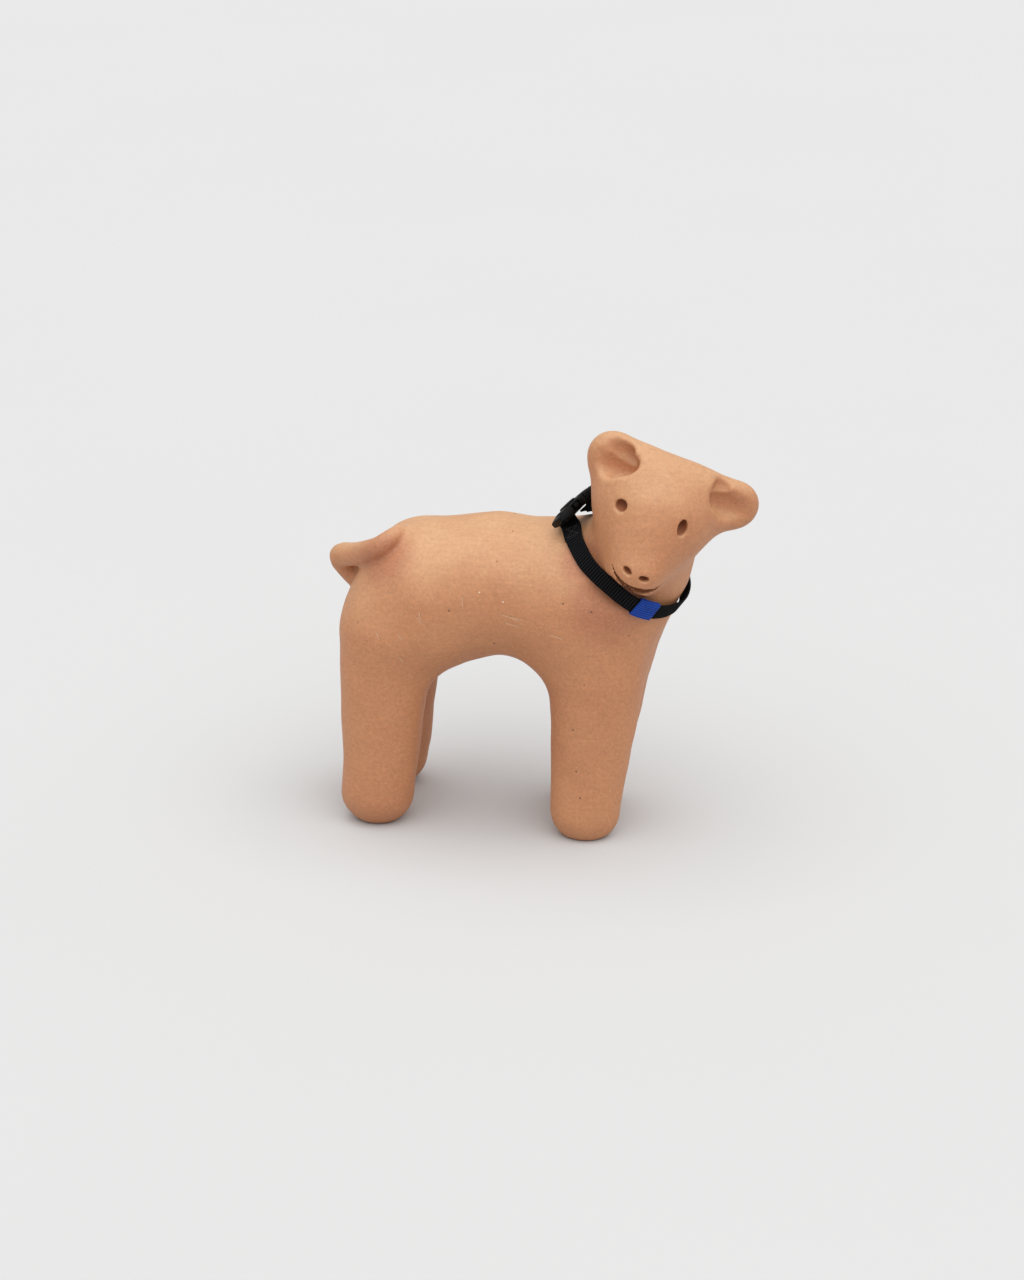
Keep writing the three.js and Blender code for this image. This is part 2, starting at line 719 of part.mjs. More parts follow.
function strapSlot(middle) {
  const halfWide = STRAP_WIDTH / 2 + 0.4;
  return block(middle - 1.1, middle + 1.1, -halfWide, halfWide, -HALF_THICK - 1, HALF_THICK + 1);
}

function buckleSocket() {
  const seam = BUCKLE_SEAM;
  const plan = [[-HALF_LENGTH, -6.3], [-9, -HALF_WIDTH], [2, -HALF_WIDTH], [seam, -7],
    [seam, 7], [2, HALF_WIDTH], [-9, HALF_WIDTH], [-HALF_LENGTH, 6.3]];
  const side = [[-HALF_LENGTH, -1.9], [-9, -HALF_THICK], [seam, -3], [seam, 3],
    [-2, HALF_THICK], [-9, HALF_THICK], [-HALF_LENGTH, 1.9]];
  const ridge = block(-6, 1, -5, 5, HALF_THICK - 0.5, HALF_THICK + 0.9);
  return plate(plan, -HALF_THICK, HALF_THICK)
    .intersect(profile(side, BUCKLE_WIDTH + 2))
    .add(ridge)
    .subtract(block(-6.5, seam + 1, -6.2, 6.2, -1.9, 1.9))
    .subtract(block(-5.5, 0.5, -HALF_WIDTH - 1, HALF_WIDTH + 1, -1.9, 1.9))
    .subtract(strapSlot(-11.5));
}

function bucklePlug() {
  const seam = BUCKLE_SEAM + PART_GAP;
  const plan = [[seam, -7], [8, -7.2], [HALF_LENGTH, -6.3], [HALF_LENGTH, 6.3], [8, 7.2], [seam, 7]];
  const side = [[seam, -3], [9, -3], [HALF_LENGTH, -1.9], [HALF_LENGTH, 1.9], [9, 3], [seam, 3]];
  const arm = (way) => plate(
    [[seam + 1, way * 3.4], [seam + 1, way * 5.6], [0, way * 5.6], [-0.2, way * 7.3], [-3.6, way * 7.1],
      [-4.9, way * 5.2], [-4.9, way * 3.9], [-1, way * 3.6]], -1.55, 1.55);
  return plate(plan, -HALF_THICK, HALF_THICK)
    .intersect(profile(side, BUCKLE_WIDTH + 2))
    .subtract(strapSlot(11.5))
    .add(arm(1))
    .add(arm(-1))
    .add(block(-2.5, seam + 1, -1.4, 1.4, -1.55, 1.55));
}

function buckleGeometry(solid) {
  return geometryFrom(solid).applyMatrix4(buckleTurn());
}

// The finished part
function finish(name, color, roughness) {
  return new THREE.MeshStandardMaterial({ name, color, roughness, metalness: 0 });
}

const CLAY = finish("terracotta", 0xcf976c, 0.85);
const WEBBING = finish("black webbing", 0x141414, 0.9);
const PLASTIC = finish("black plastic", 0x1b1b1c, 0.5);
const RIBBON = finish("blue ribbon", 0x1f3fbf, 0.85);

const dog = new THREE.Group();
dog.position.set(STANCE_X, STANCE_Y, -GROUND);

function addPiece(name, geometry, material) {
  const mesh = new THREE.Mesh(geometry, material.clone());
  mesh.name = name;
  dog.add(mesh);
}

addPiece("clay_dog", clayDog(), CLAY);
addPiece("collar_strap", collarStrap(), WEBBING);
addPiece("buckle_socket", buckleGeometry(buckleSocket()), PLASTIC);
addPiece("buckle_plug", buckleGeometry(bucklePlug()), PLASTIC);
addPiece("ribbon_tag", ribbonTag(), RIBBON);

const part = new THREE.Group();
part.add(dog);

export default part;
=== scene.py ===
# A hand-modelled terracotta dog in haniwa style, with a webbing collar, a side-release buckle
# and a plain ribbon tag. Lengths are in millimetres until a mesh is made, then in metres.
import json
from itertools import product
from math import cos, pi, radians, sin, sqrt

import bpy
import numpy as np
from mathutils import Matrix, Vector

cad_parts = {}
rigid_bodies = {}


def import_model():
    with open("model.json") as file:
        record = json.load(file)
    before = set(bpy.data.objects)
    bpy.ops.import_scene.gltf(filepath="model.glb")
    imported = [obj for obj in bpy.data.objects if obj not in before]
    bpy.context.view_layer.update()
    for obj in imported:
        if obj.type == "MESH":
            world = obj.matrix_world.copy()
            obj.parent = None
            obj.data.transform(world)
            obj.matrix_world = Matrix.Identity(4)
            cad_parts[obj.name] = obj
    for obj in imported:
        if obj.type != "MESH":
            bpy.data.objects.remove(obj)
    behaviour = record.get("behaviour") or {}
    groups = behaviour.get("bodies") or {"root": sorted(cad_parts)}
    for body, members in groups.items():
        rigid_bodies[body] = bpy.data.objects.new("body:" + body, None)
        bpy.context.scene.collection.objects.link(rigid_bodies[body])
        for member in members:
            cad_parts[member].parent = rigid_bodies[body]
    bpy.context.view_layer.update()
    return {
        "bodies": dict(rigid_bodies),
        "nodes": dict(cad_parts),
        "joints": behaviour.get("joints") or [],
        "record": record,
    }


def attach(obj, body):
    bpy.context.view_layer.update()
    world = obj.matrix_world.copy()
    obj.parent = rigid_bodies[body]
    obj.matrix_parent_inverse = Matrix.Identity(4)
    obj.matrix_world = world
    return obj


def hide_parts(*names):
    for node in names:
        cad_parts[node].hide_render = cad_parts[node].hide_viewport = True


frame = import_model()

MM = 0.001
# Where the middle of the four soles stands in the frame
GROUND = 1.8
STANCE = np.array((-24.7, 2.55, -GROUND))

# Trunk
RUMP = ((-36, 0, 132.5), 43)
LOIN = ((0, 0, 141.5), 35.3)
CHEST = ((50.3, 0, 135), 38)
TRUNK_BLEND = 14

# Legs: hip and foot (along, up) with their radii, and how the far side's foot is shifted
HIP_SPREAD = 18
FOOT_SPREAD = 22
LEG_FLATNESS = 0.88
LEG_BLEND = 20
LEGS = (((-59, 111.5), 25.8, (-64.5, 19.5), 20.5, (-2.5, 11)),
        ((59.5, 93.5), 26, (54.5, 16.5), 19.3, (-4.5, 3)))
SOLE_ROUNDING = 1.5

# Head, in its own directions: across, up and forward
HEAD_AT = np.array((90.5, -17.0, 196.5))
HEAD_YAW, HEAD_PITCH, HEAD_ROLL = (radians(a) for a in (80, 12, 22.5))
SKULL_RADII = (32, 23.5, 25)
FACE = dict(start=(0, -2, 2), end=(-0.5, -22.5, 27), r1=28, r2=15.8)
FACE_BLEND = 18
# Ears: root, tip and the tip's radius
EARS = [((-16, 13, -2), (-31.3, 16, -11), 14), ((17, 12, -2), (39.3, 14.2, -6.5), 14.4)]
EAR_ROOT_R = 16.5
EAR_FLATNESS = 0.72
EAR_JOIN = 10
EAR_BLEND = 14
# Hollows of the ears, and the one under the chin: place, turn, tip and radii
HOLLOWS = [
    ((-31, 19, 3), -12, 15, (14, 9, 6.5)),
    ((-29.5, 22, 0.5), -12, 30, (10, 4.5, 8)),
    ((35, 18.5, 5), -8, 15, (13.5, 8, 6.5)),
    ((27, 23, 5), -8, 35, (6, 3.5, 8)),
    ((-10, -42.4, 34), 0, 0, (20, 10, 13)),
]
HOLLOW_BLEND = 5
NECK_TOP = ((7.6, -38, -8), 29.3)
NECK_ROOT_R = 41.4
NECK_BLEND = 22
HEAD_BLEND = 16

# Tail: places and radii along the rolled coil
TAIL = [
    ((-78, 7, 135.5), 8), ((-84, 7, 141), 7.6), ((-88, 2, 150), 7.2), ((-76.5, -9, 156.5), 6.9),
    ((-63.5, -20, 164), 6.2), ((-56, -19, 169.5), 5.5), ((-52.5, -11, 170.5), 4.8),
]
TAIL_STEPS = 3
TAIL_BLEND = 3


# Shapes as signed distances, negative inside
FAR_AWAY = 99.0
TINY = 1e-9


def unit(rows):
    return rows / np.linalg.norm(rows, axis=-1, keepdims=True)


def soft_min(a, b, width):
    share = np.maximum(width - np.abs(a - b), 0) / width
    return np.minimum(a, b) - share * share * width / 4


def soft_max(a, b, width):
    return -soft_min(-a, -b, width)


def round_cone(p, a, b, r1, r2, flat=None, flatness=1.0):
    """The skin stretched over two balls, flattened along one direction."""
    q = p - np.asarray(a, float)
    along = np.asarray(b, float) - np.asarray(a, float)
    if flat is not None:
        k = 1 / flatness - 1
        flat = np.asarray(flat, float)
        q = q + (q @ flat)[:, None] * flat * k
        along = along + along @ flat * flat * k
    span = along @ along
    taper = r1 - r2
    slope = span - taper * taper
    start = q @ along
    end = start - span
    w = q * span - start[:, None] * along
    aside = np.einsum("ij,ij->i", w, w)
    start2 = start * start * span
    end2 = end * end * span
    limit = np.sign(taper) * taper * taper * aside
    wall = (np.sqrt(aside * slope / span) + start * taper) / span - r1
    cap_b = np.sqrt(aside + end2) / span - r2
    cap_a = np.sqrt(aside + start2) / span - r1
    past_b = np.sign(end) * slope * end2 > limit
    before_a = np.sign(start) * slope * start2 < limit
    return np.where(past_b, cap_b, np.where(before_a, cap_a, wall)) * sqrt(flatness)


def ellipsoid(p, at, axes, radii):
    radii = np.asarray(radii, float)
    q = (p - at) @ np.asarray(axes).T / radii
    once = np.linalg.norm(q, axis=1)
    twice = np.linalg.norm(q / radii, axis=1)
    return once * (once - 1) / np.maximum(twice, TINY)


def between(p0, p1, p2, p3, w, slope=False):
    """A place on the smooth curve from p1 to p2, or the curve's slope there."""
    v0, v1 = (p2 - p0) / 2, (p3 - p1) / 2
    a, b = 2 * p1 - 2 * p2 + v0 + v1, -3 * p1 + 3 * p2 - 2 * v0 - v1
    if slope:
        return 3 * a * w**2 + 2 * b * w + v0
    return a * w**3 + b * w**2 + v0 * w + p1


def catmull_rom(points, count):
    """Points at even shares of a smooth curve through the given ones."""
    pts = np.asarray(points, float)
    pts = np.vstack((2 * pts[0] - pts[1], pts, 2 * pts[-1] - pts[-2]))
    out = []
    for place in np.arange(count + 1) / count * (len(pts) - 3):
        k = min(int(place), len(pts) - 4)
        out.append(between(*pts[k:k + 4], place - k))
    return np.array(out)


def head_directions():
    level = np.array((cos(HEAD_YAW), -sin(HEAD_YAW), 0))
    z = np.array((0, 0, 1.0))
    across = np.cross(z, level)
    forward = level * cos(HEAD_PITCH) - z * sin(HEAD_PITCH)
    up = level * sin(HEAD_PITCH) + z * cos(HEAD_PITCH)
    return np.array((
        across * cos(HEAD_ROLL) - up * sin(HEAD_ROLL),
        up * cos(HEAD_ROLL) + across * sin(HEAD_ROLL),
        forward,
    ))


HEAD = head_directions()


def head_point(local):
    return HEAD_AT + np.asarray(local, float) @ HEAD


def body_distance(p):
    d = soft_min(round_cone(p, RUMP[0], LOIN[0], RUMP[1], LOIN[1]),
                 round_cone(p, LOIN[0], CHEST[0], LOIN[1], CHEST[1]), TRUNK_BLEND)
    for side in (-1, 1):
        for (hip_x, hip_z), hip_r, (foot_x, foot_z), foot_r, shift in LEGS:
            dx, dy = shift if side > 0 else (0, 0)
            hip = (hip_x, side * HIP_SPREAD, hip_z)
            foot = (foot_x + dx, side * FOOT_SPREAD + dy, foot_z)
            post = round_cone(p, hip, foot, hip_r, foot_r, (0, 1, 0), LEG_FLATNESS)
            d = soft_min(d, post, LEG_BLEND)
    neck = round_cone(p, CHEST[0], head_point(NECK_TOP[0]), NECK_ROOT_R, NECK_TOP[1])
    return soft_min(d, neck, NECK_BLEND)


def head_distance(p):
    skull = ellipsoid(p, HEAD_AT, HEAD, SKULL_RADII)
    face = round_cone(p, head_point(FACE["start"]), head_point(FACE["end"]), FACE["r1"], FACE["r2"])
    flaps = [round_cone(p, head_point(root), head_point(tip), EAR_ROOT_R, tip_r, HEAD[2], EAR_FLATNESS)
             for root, tip, tip_r in EARS]
    ears = soft_min(flaps[0], flaps[1], EAR_JOIN)
    return soft_min(soft_min(skull, face, FACE_BLEND), ears, EAR_BLEND)


def hollow_distance(p):
    hollows = []
    for at, turn, tip, radii in HOLLOWS:
        turn, tip = radians(turn), radians(tip)
        long = HEAD[0] * cos(turn) + HEAD[1] * sin(turn)
        short = HEAD[1] * cos(turn) - HEAD[0] * sin(turn)
        inward = HEAD[2] * cos(tip) - short * sin(tip)
        rim = short * cos(tip) + HEAD[2] * sin(tip)
        hollows.append(ellipsoid(p, head_point(at), (long, rim, inward), radii))
    return np.minimum.reduce(hollows)


def tail_distance(p):
    count = (len(TAIL) - 1) * TAIL_STEPS
    path = catmull_rom([at for at, r in TAIL], count)
    radii = np.interp(np.arange(count + 1) / TAIL_STEPS, np.arange(len(TAIL)), [r for at, r in TAIL])
    return np.minimum.reduce([round_cone(p, path[i], path[i + 1], radii[i], radii[i + 1])
                              for i in range(count)])


TAIL_LOW, TAIL_HIGH = np.array((-110, -45, 115)), np.array((-35, 30, 195))
HEAD_NEAR = 95


def clay_plain(p):
    """The bare form of the CAD solid. The head and tail only count near themselves."""
    d = body_distance(p)
    near = np.linalg.norm(p - HEAD_AT, axis=1) < HEAD_NEAR
    if near.any():
        q = p[near]
        whole = soft_min(d[near], head_distance(q), HEAD_BLEND)
        d[near] = soft_max(whole, -hollow_distance(q), HOLLOW_BLEND)
    near = np.all((p > TAIL_LOW) & (p < TAIL_HIGH), axis=1)
    if near.any():
        d[near] = soft_min(d[near], tail_distance(p[near]), TAIL_BLEND)
    return soft_max(d, GROUND - p[:, 2], SOLE_ROUNDING)


# Hand modelling: slow swells and dents over the whole surface, from a few fixed waves
WAVES = np.random.default_rng(11)
SWELLS = []
for size, count, height in ((60, 7, 0.16), (30, 9, 0.08), (14, 10, 0.03)):
    for _ in range(count):
        way = unit(WAVES.normal(size=3))
        wave = way * 2 * pi / (size * WAVES.uniform(0.8, 1.25))
        SWELLS.append((wave, WAVES.uniform(0, 2 * pi), height))
# The swells die away towards the soles over this height
SWELL_FADE = 12


def unevenness(p):
    total = np.zeros(len(p))
    for wave, phase, height in SWELLS:
        total += height * np.sin(p @ wave + phase)
    return total * np.clip((p[:, 2] - GROUND) / SWELL_FADE, 0, 1)


# The face: holes pushed in with a stick (place, way in, radii, turn), and a cut smile
EYES = [((-24.4, 5.1, 23.2), (0.5, 0.35, -1), (3.9, 3.2, 8.5), 35),
        ((10.5, 8.8, 28.1), (-0.45, 0.35, -1), (3.0, 4.0, 8.5), -10)]
NOSTRILS = [((-9.3, -20.2, 40.4), (0.25, 0.1, -1), (2.9, 1.9, 5), -8),
            ((0.4, -20.1, 42.5), (0, 0.1, -1), (2.9, 1.8, 5), 4)]
HOLE_LIP = 0.8
# The lips, across and up in the head's directions
UPPER_LIP = ((-16.5, -23.6), (-12.3, -26.0), (-7.3, -27.1), (-2.8, -26.9),
             (1.7, -26.2), (6.5, -25.6), (9.7, -24.6), (13.0, -22.3))
LOWER_LIP = ((-16.5, -23.6), (-12.3, -28.0), (-5.3, -31.8), (-0.2, -32.6),
             (4.0, -31.6), (7.4, -29.9), (10.5, -26.6), (13.0, -22.3))
LIP_ROUNDING = 0.4
LIP_STEPS = 40
# The mouth is deepest under the upper lip, and this share of that at the lower one
MOUTH_DEPTH = 5.5
MOUTH_SHALLOW = 0.35
MOUTH_THINNEST = 0.3
# The mouth is cut only into what lies this far forward in the head
MUZZLE_FROM = 15
FACE_NEAR = 34
FACE_AT = head_point((-4, -12, 34))


def lip(points, s):
    """The lip's height at places across the face."""
    smooth = catmull_rom(points, LIP_STEPS)
    return np.interp(s, smooth[:, 0], smooth[:, 1])


def face_cuts(p, d):
    local = (p - HEAD_AT) @ HEAD.T
    for at, into, radii, turn in EYES + NOSTRILS:
        into = unit(np.array(into, float))
        turn = radians(turn)
        side = np.array((cos(turn), sin(turn), 0))
        side = unit(side - side @ into * into)
        hole = ellipsoid(local, at, (side, np.cross(into, side), into), radii)
        d = soft_max(d, -hole, HOLE_LIP)
    s, u, f = local.T
    upper = lip(UPPER_LIP, s)
    lower = lip(LOWER_LIP, s)
    outside = np.maximum(u - upper, lower - u)
    outside = np.maximum(outside, np.maximum(UPPER_LIP[0][0] - s, s - UPPER_LIP[-1][0]))
    outside = np.where(f > MUZZLE_FROM, outside, FAR_AWAY)
    share = np.clip((u - lower) / np.maximum(upper - lower, MOUTH_THINNEST), 0, 1)
    depth = MOUTH_DEPTH * (MOUTH_SHALLOW + (1 - MOUTH_SHALLOW) * share)
    return np.maximum(d, soft_min(-outside, d + depth, LIP_ROUNDING))


def clay_distance(p):
    d = clay_plain(p) + unevenness(p)
    near = np.linalg.norm(p - FACE_AT, axis=1) < FACE_NEAR
    if near.any():
        d[near] = face_cuts(p[near], d[near])
    return d


def slope_of(distance, p, reach):
    steps = np.eye(3) * reach
    return np.column_stack([distance(p + step) - distance(p - step) for step in steps]) / (2 * reach)


SETTLE_ROUNDS = 2
SETTLE_REACH = 0.12
SETTLE_STEP = 1.5
LEAST_SLOPE = 0.2


def settle(distance, p):
    """Moves points onto the surface."""
    for _ in range(SETTLE_ROUNDS):
        g = slope_of(distance, p, SETTLE_REACH)
        step = distance(p) / np.maximum((g * g).sum(1), LEAST_SLOPE)
        p = p - g * np.clip(step, -SETTLE_STEP, SETTLE_STEP)[:, None]
    return p


# The mesh's grid: the cell sizes, and where stretches of one size end along each axis
CELL = dict(body=1.9, head=0.85, rim=1.105)
GRID = (
    (-104, (66, "body"), (120, "head"), (147, "rim")),
    (-74, (-62, "rim"), (-26, "head"), (62, "body")),
    (-4, (154, "body"), (212, "head"), (243, "rim")),
)
# Blocks of this many cells are left out where the surface is further off than this share of one
BLOCK = 5
BLOCK_NEAR = 0.75


def planes(start, *stretches):
    """The grid's planes along one axis."""
    out = [start]
    for end, kind in stretches:
        count = round((end - start) / CELL[kind])
        out.extend(start + (end - start) * i / count for i in range(1, count + 1))
        start = end
    return np.array(out)


def grid_values(grid, distance):
    """Distances at the grid's nodes, exact only near the surface."""
    ends = [np.append(np.arange(0, len(a) - 1, BLOCK), len(a) - 1) for a in grid]
    rough = np.meshgrid(*(a[end] for a, end in zip(grid, ends)), indexing="ij")
    rough = distance(np.stack(rough, -1).reshape(-1, 3)).reshape(rough[0].shape)
    corners = [rough[corner] for corner in product((slice(None, -1), slice(1, None)), repeat=3)]
    lows, highs = np.minimum.reduce(corners), np.maximum.reduce(corners)
    spans = np.meshgrid(*(np.diff(a[end]) for a, end in zip(grid, ends)), indexing="ij")
    reach = BLOCK_NEAR * np.sqrt(sum(span**2 for span in spans))
    sign = np.where(lows + highs < 0, -FAR_AWAY, FAR_AWAY)
    blocks = [np.minimum(np.arange(len(a)) // BLOCK, len(end) - 2) for a, end in zip(grid, ends)]
    values = sign[np.ix_(*blocks)]
    wanted = np.zeros(values.shape, bool)
    for block in np.argwhere((lows < reach) & (highs > -reach)):
        wanted[tuple(slice(end[b], end[b + 1] + 1) for end, b in zip(ends, block))] = True
    index = np.nonzero(wanted)
    values[index] = distance(np.column_stack([a[n] for a, n in zip(grid, index)]))
    return values


def surface_net(grid, distance):
    """One vertex in each grid cell that the surface passes through, joined by quads."""
    values = grid_values(grid, distance)
    shape = values.shape
    strides = np.array((shape[1] * shape[2], shape[2], 1))
    total = np.zeros((values.size, 3))
    count = np.zeros(values.size)
    quads = []
    for axis in range(3):
        a = np.moveaxis(values, axis, 0)
        index = np.argwhere((a[:-1] < 0) != (a[1:] < 0))
        cell = np.insert(index[:, 1:], axis, index[:, 0], axis=1)
        ahead = cell + np.eye(3, dtype=int)[axis]
        near, far = values[tuple(cell.T)], values[tuple(ahead.T)]
        p = np.column_stack([a[n] for a, n in zip(grid, cell.T)])
        p[:, axis] += near / (near - far) * (grid[axis][ahead[:, axis]] - p[:, axis])
        flat = cell @ strides
        first, second = strides[(axis + 1) % 3], strides[(axis + 2) % 3]
        ring = np.column_stack((flat - first - second, flat - second, flat, flat - first))
        for corner in ring.T:
            for n in range(3):
                total[:, n] += np.bincount(corner, p[:, n], values.size)
            count += np.bincount(corner, minlength=values.size)
        quads.append(np.where((near < 0)[:, None], ring, ring[:, ::-1]))
    used = np.flatnonzero(count)
    number = np.full(values.size, -1)
    number[used] = np.arange(len(used))
    return total[used] / count[used][:, None], number[np.concatenate(quads)]


def halves(points, quads):
    """Each quad as two triangles, cut along its shorter diagonal."""
    a, b, c, d = quads.T
    gaps = [np.linalg.norm(points[one] - points[two], axis=1) for one, two in ((a, c), (b, d))]
    short = (gaps[0] < gaps[1])[:, None]
    one = np.where(short, np.column_stack((a, b, c)), np.column_stack((a, b, d)))
    two = np.where(short, np.column_stack((a, c, d)), np.column_stack((b, c, d)))
    return np.concatenate((one, two))


def placed(name, data):
    obj = bpy.data.objects.new(name, data)
    bpy.context.scene.collection.objects.link(obj)
    return obj


def make_object(name, points, faces, material=None):
    """An object from points in millimetres round the middle of the soles."""
    mesh = bpy.data.meshes.new(name)
    mesh.from_pydata(((points + STANCE) * MM).tolist(), [], faces)
    mesh.validate()
    mesh.polygons.foreach_set("use_smooth", [True] * len(mesh.polygons))
    if material is not None:
        mesh.materials.append(material)
    return placed(name, mesh)


SOLE_FLAT = 0.05


def clay_mesh():
    points, quads = surface_net([planes(*axis) for axis in GRID], clay_distance)
    points = settle(clay_distance, points)
    points[np.abs(points[:, 2] - GROUND) < SOLE_FLAT, 2] = GROUND
    return points, halves(points, quads).tolist()


# The photograph's camera, which also tells where on the clay a pixel of the photograph lies
CAMERA_AZIMUTH = radians(10)
CAMERA_ELEVATION = radians(22)
CAMERA_TARGET = np.array((9.0, 0.0, 107.0))
CAMERA_DISTANCE = 1680
CAMERA_LENS = 84.375
CAMERA_SENSOR = 36
CAMERA_CLIP_M = 60
PHOTO_WIDTH, PHOTO_HEIGHT = 1024, 1280
# A look starts this far from the camera and goes on in bounded strides
LOOK_FROM = 1300
LOOK_STRIDE = 12
LOOK_STRIDES = 90
LOOK_CAUTION = 0.9


def camera_directions():
    right = np.array((cos(CAMERA_AZIMUTH), sin(CAMERA_AZIMUTH), 0))
    level = np.cross((0, 0, 1), right)
    away = level * cos(CAMERA_ELEVATION) - np.array((0, 0, sin(CAMERA_ELEVATION)))
    return right, np.cross(right, away), away


RIGHT, UP, AWAY = camera_directions()
CAMERA_AT = CAMERA_TARGET - AWAY * CAMERA_DISTANCE


def seen_at(pixels):
    """The places on the clay that pixels of the photograph show."""
    x, y = np.array(pixels, float).T[:, :, None]
    focal = PHOTO_HEIGHT * CAMERA_LENS / CAMERA_SENSOR
    ways = unit(AWAY + RIGHT * (x - PHOTO_WIDTH / 2) / focal - UP * (y - PHOTO_HEIGHT / 2) / focal)
    reach = np.full((len(ways), 1), float(LOOK_FROM))
    for _ in range(LOOK_STRIDES):
        gap = clay_plain(CAMERA_AT + ways * reach)[:, None]
        reach += LOOK_CAUTION * np.clip(gap, -LOOK_STRIDE, LOOK_STRIDE)
    return CAMERA_AT + ways * reach


# Materials
class Paint:
    """A material in the making, with a short call for each kind of node."""

    def __init__(self, name):
        self.material = bpy.data.materials.new(name)
        self.material.use_nodes = True
        self.nodes = self.material.node_tree.nodes
        self.links = self.material.node_tree.links
        self.nodes.clear()
        self.shader = self.nodes.new("ShaderNodeBsdfPrincipled")
        output = self.nodes.new("ShaderNodeOutputMaterial")
        self.links.new(self.shader.outputs["BSDF"], output.inputs["Surface"])
        self.place = self.nodes.new("ShaderNodeTexCoord").outputs["Object"]

    def feed(self, socket, value):
        """Links another node's output to a socket, or sets a plain value on it."""
        if isinstance(value, bpy.types.NodeSocket):
            self.links.new(value, socket)
        elif socket.type == "RGBA":
            socket.default_value = (*value, 1)
        else:
            socket.default_value = value

    def node(self, kind, inputs, output, operation=None):
        node = self.nodes.new(kind)
        if operation is not None:
            node.operation = operation
        for name, value in inputs.items():
            self.feed(node.inputs[name], value)
        return node.outputs[output]

    def noise(self, scale, detail, roughness=0.5, distortion=0.0, at=None):
        inputs = {"Vector": self.place if at is None else at, "Scale": scale, "Detail": detail,
                  "Roughness": roughness, "Distortion": distortion}
        return self.node("ShaderNodeTexNoise", inputs, "Fac")

    def ramp(self, source, *stops):
        """Colours or greys at stops along a value."""
        node = self.nodes.new("ShaderNodeValToRGB")
        elements = node.color_ramp.elements
        while len(elements) < len(stops):
            elements.new(0.5)
        for element, (place, colour) in zip(elements, stops):
            element.position = place
            element.color = (*colour, 1) if isinstance(colour, tuple) else (colour, colour, colour, 1)
        self.links.new(source, node.inputs["Fac"])
        return node.outputs["Color"]

    def mix(self, share, a, b, kind="MIX"):
        node = self.nodes.new("ShaderNodeMix")
        node.data_type = "RGBA"
        node.blend_type = kind
        for index, value in ((0, share), (6, a), (7, b)):
            self.feed(node.inputs[index], value)
        return node.outputs[2]

    def over(self, under, colour, source, *stops):
        """A colour laid over another, by a ramp along a value."""
        return self.mix(self.ramp(source, *stops), under, colour)

    def maths(self, operation, a, b=None):
        inputs = {0: a} if b is None else {0: a, 1: b}
        return self.node("ShaderNodeMath", inputs, 0, operation)

    def vector(self, operation, a, b, output="Vector"):
        return self.node("ShaderNodeVectorMath", {0: a, 1: b}, output, operation)

    def bump(self, height, distance, strength, under=None):
        inputs = {"Strength": strength, "Distance": distance, "Height": height}
        if under is not None:
            inputs["Normal"] = under
        return self.node("ShaderNodeBump", inputs, "Normal")

    def noted(self, name):
        """The number that note() stored at each vertex."""
        node = self.nodes.new("ShaderNodeAttribute")
        node.attribute_name = name
        return node.outputs["Fac"]

    def falling(self, gap, radius, core):
        """One at a mark's core, easing to nothing at its soft edge."""
        inputs = {"Value": gap, "From Min": radius * MM * core, "From Max": radius * MM * MARK_EDGE,
                  "To Min": 1.0, "To Max": 0.0}
        result = self.node("ShaderNodeMapRange", inputs, "Result")
        result.node.interpolation_type = "SMOOTHSTEP"
        return result

    def near_spot(self, spot, radius):
        gap = self.vector("DISTANCE", self.place, (spot + STANCE) * MM, "Value")
        return self.falling(gap, radius, SPOT_CORE)

    def near_stroke(self, start, end, radius):
        run = (end - start) * MM
        away = self.vector("SUBTRACT", self.place, (start + STANCE) * MM)
        along = self.vector("DOT_PRODUCT", away, run / (run @ run), "Value")
        share = self.maths("MULTIPLY", along, 1.0)
        share.node.use_clamp = True
        foot = self.node("ShaderNodeVectorMath", {0: run}, "Vector", "SCALE")
        self.links.new(share, foot.node.inputs["Scale"])
        return self.falling(self.vector("DISTANCE", away, foot, "Value"), radius, STROKE_CORE)

    def strongest(self, masks):
        total = masks[0]
        for mask in masks[1:]:
            total = self.maths("MAXIMUM", total, mask)
        return total

    def marked(self, masks, share, under, colour):
        """A colour laid over another at the marks, and the marks themselves."""
        marks = self.strongest(masks)
        return self.mix(self.maths("MULTIPLY", marks, share), under, colour), marks

    def finish(self, colour, roughness, normal=None, specular=0.5):
        values = {"Base Color": colour, "Roughness": roughness, "Specular IOR Level": specular}
        if normal is not None:
            values["Normal"] = normal
        for name, value in values.items():
            self.feed(self.shader.inputs[name], value)
        return self.material


def note(obj, name, values):
    """Stores one number at each vertex, for a material to read."""
    stored = obj.data.attributes.new(name, "FLOAT", "POINT")
    stored.data.foreach_set("value", np.asarray(values, np.float32))


# Marks on the near flank and fore leg, in pixels of the photograph
SCRATCHES = [
    ((417, 617.6), (421.6, 624.4)), ((419, 612.4), (420.2, 619)), ((377, 633), (379.2, 639)),
    ((377, 647), (388, 664)), ((397, 634), (402, 640)), ((399, 657), (403, 662)),
    ((462.2, 597), (462.6, 605.6)), ((503, 615), (527, 624)), ((512, 617.4), (542, 624)),
    ((506, 623), (532, 630)), ((530, 618), (544, 624)), ((520, 627.6), (540, 634)),
    ((550, 634), (562, 639)), ((432, 622), (434, 630.4)),
]
PINHOLES = [(565, 685), (580, 798.4), (591.4, 612.4), (563, 604), (449, 611), (584.4, 684.8),
            (573, 730), (576, 772), (358.4, 622.4), (367.4, 641)]
PALE_SPECKS = [(479.4, 592.4), (503, 602)]
# Painted shade: darker spots under the chin, beside the collar and under the tail, where shadow falls
SHADE_SPOTS = [(606, 606), (585, 560), (385, 560)]
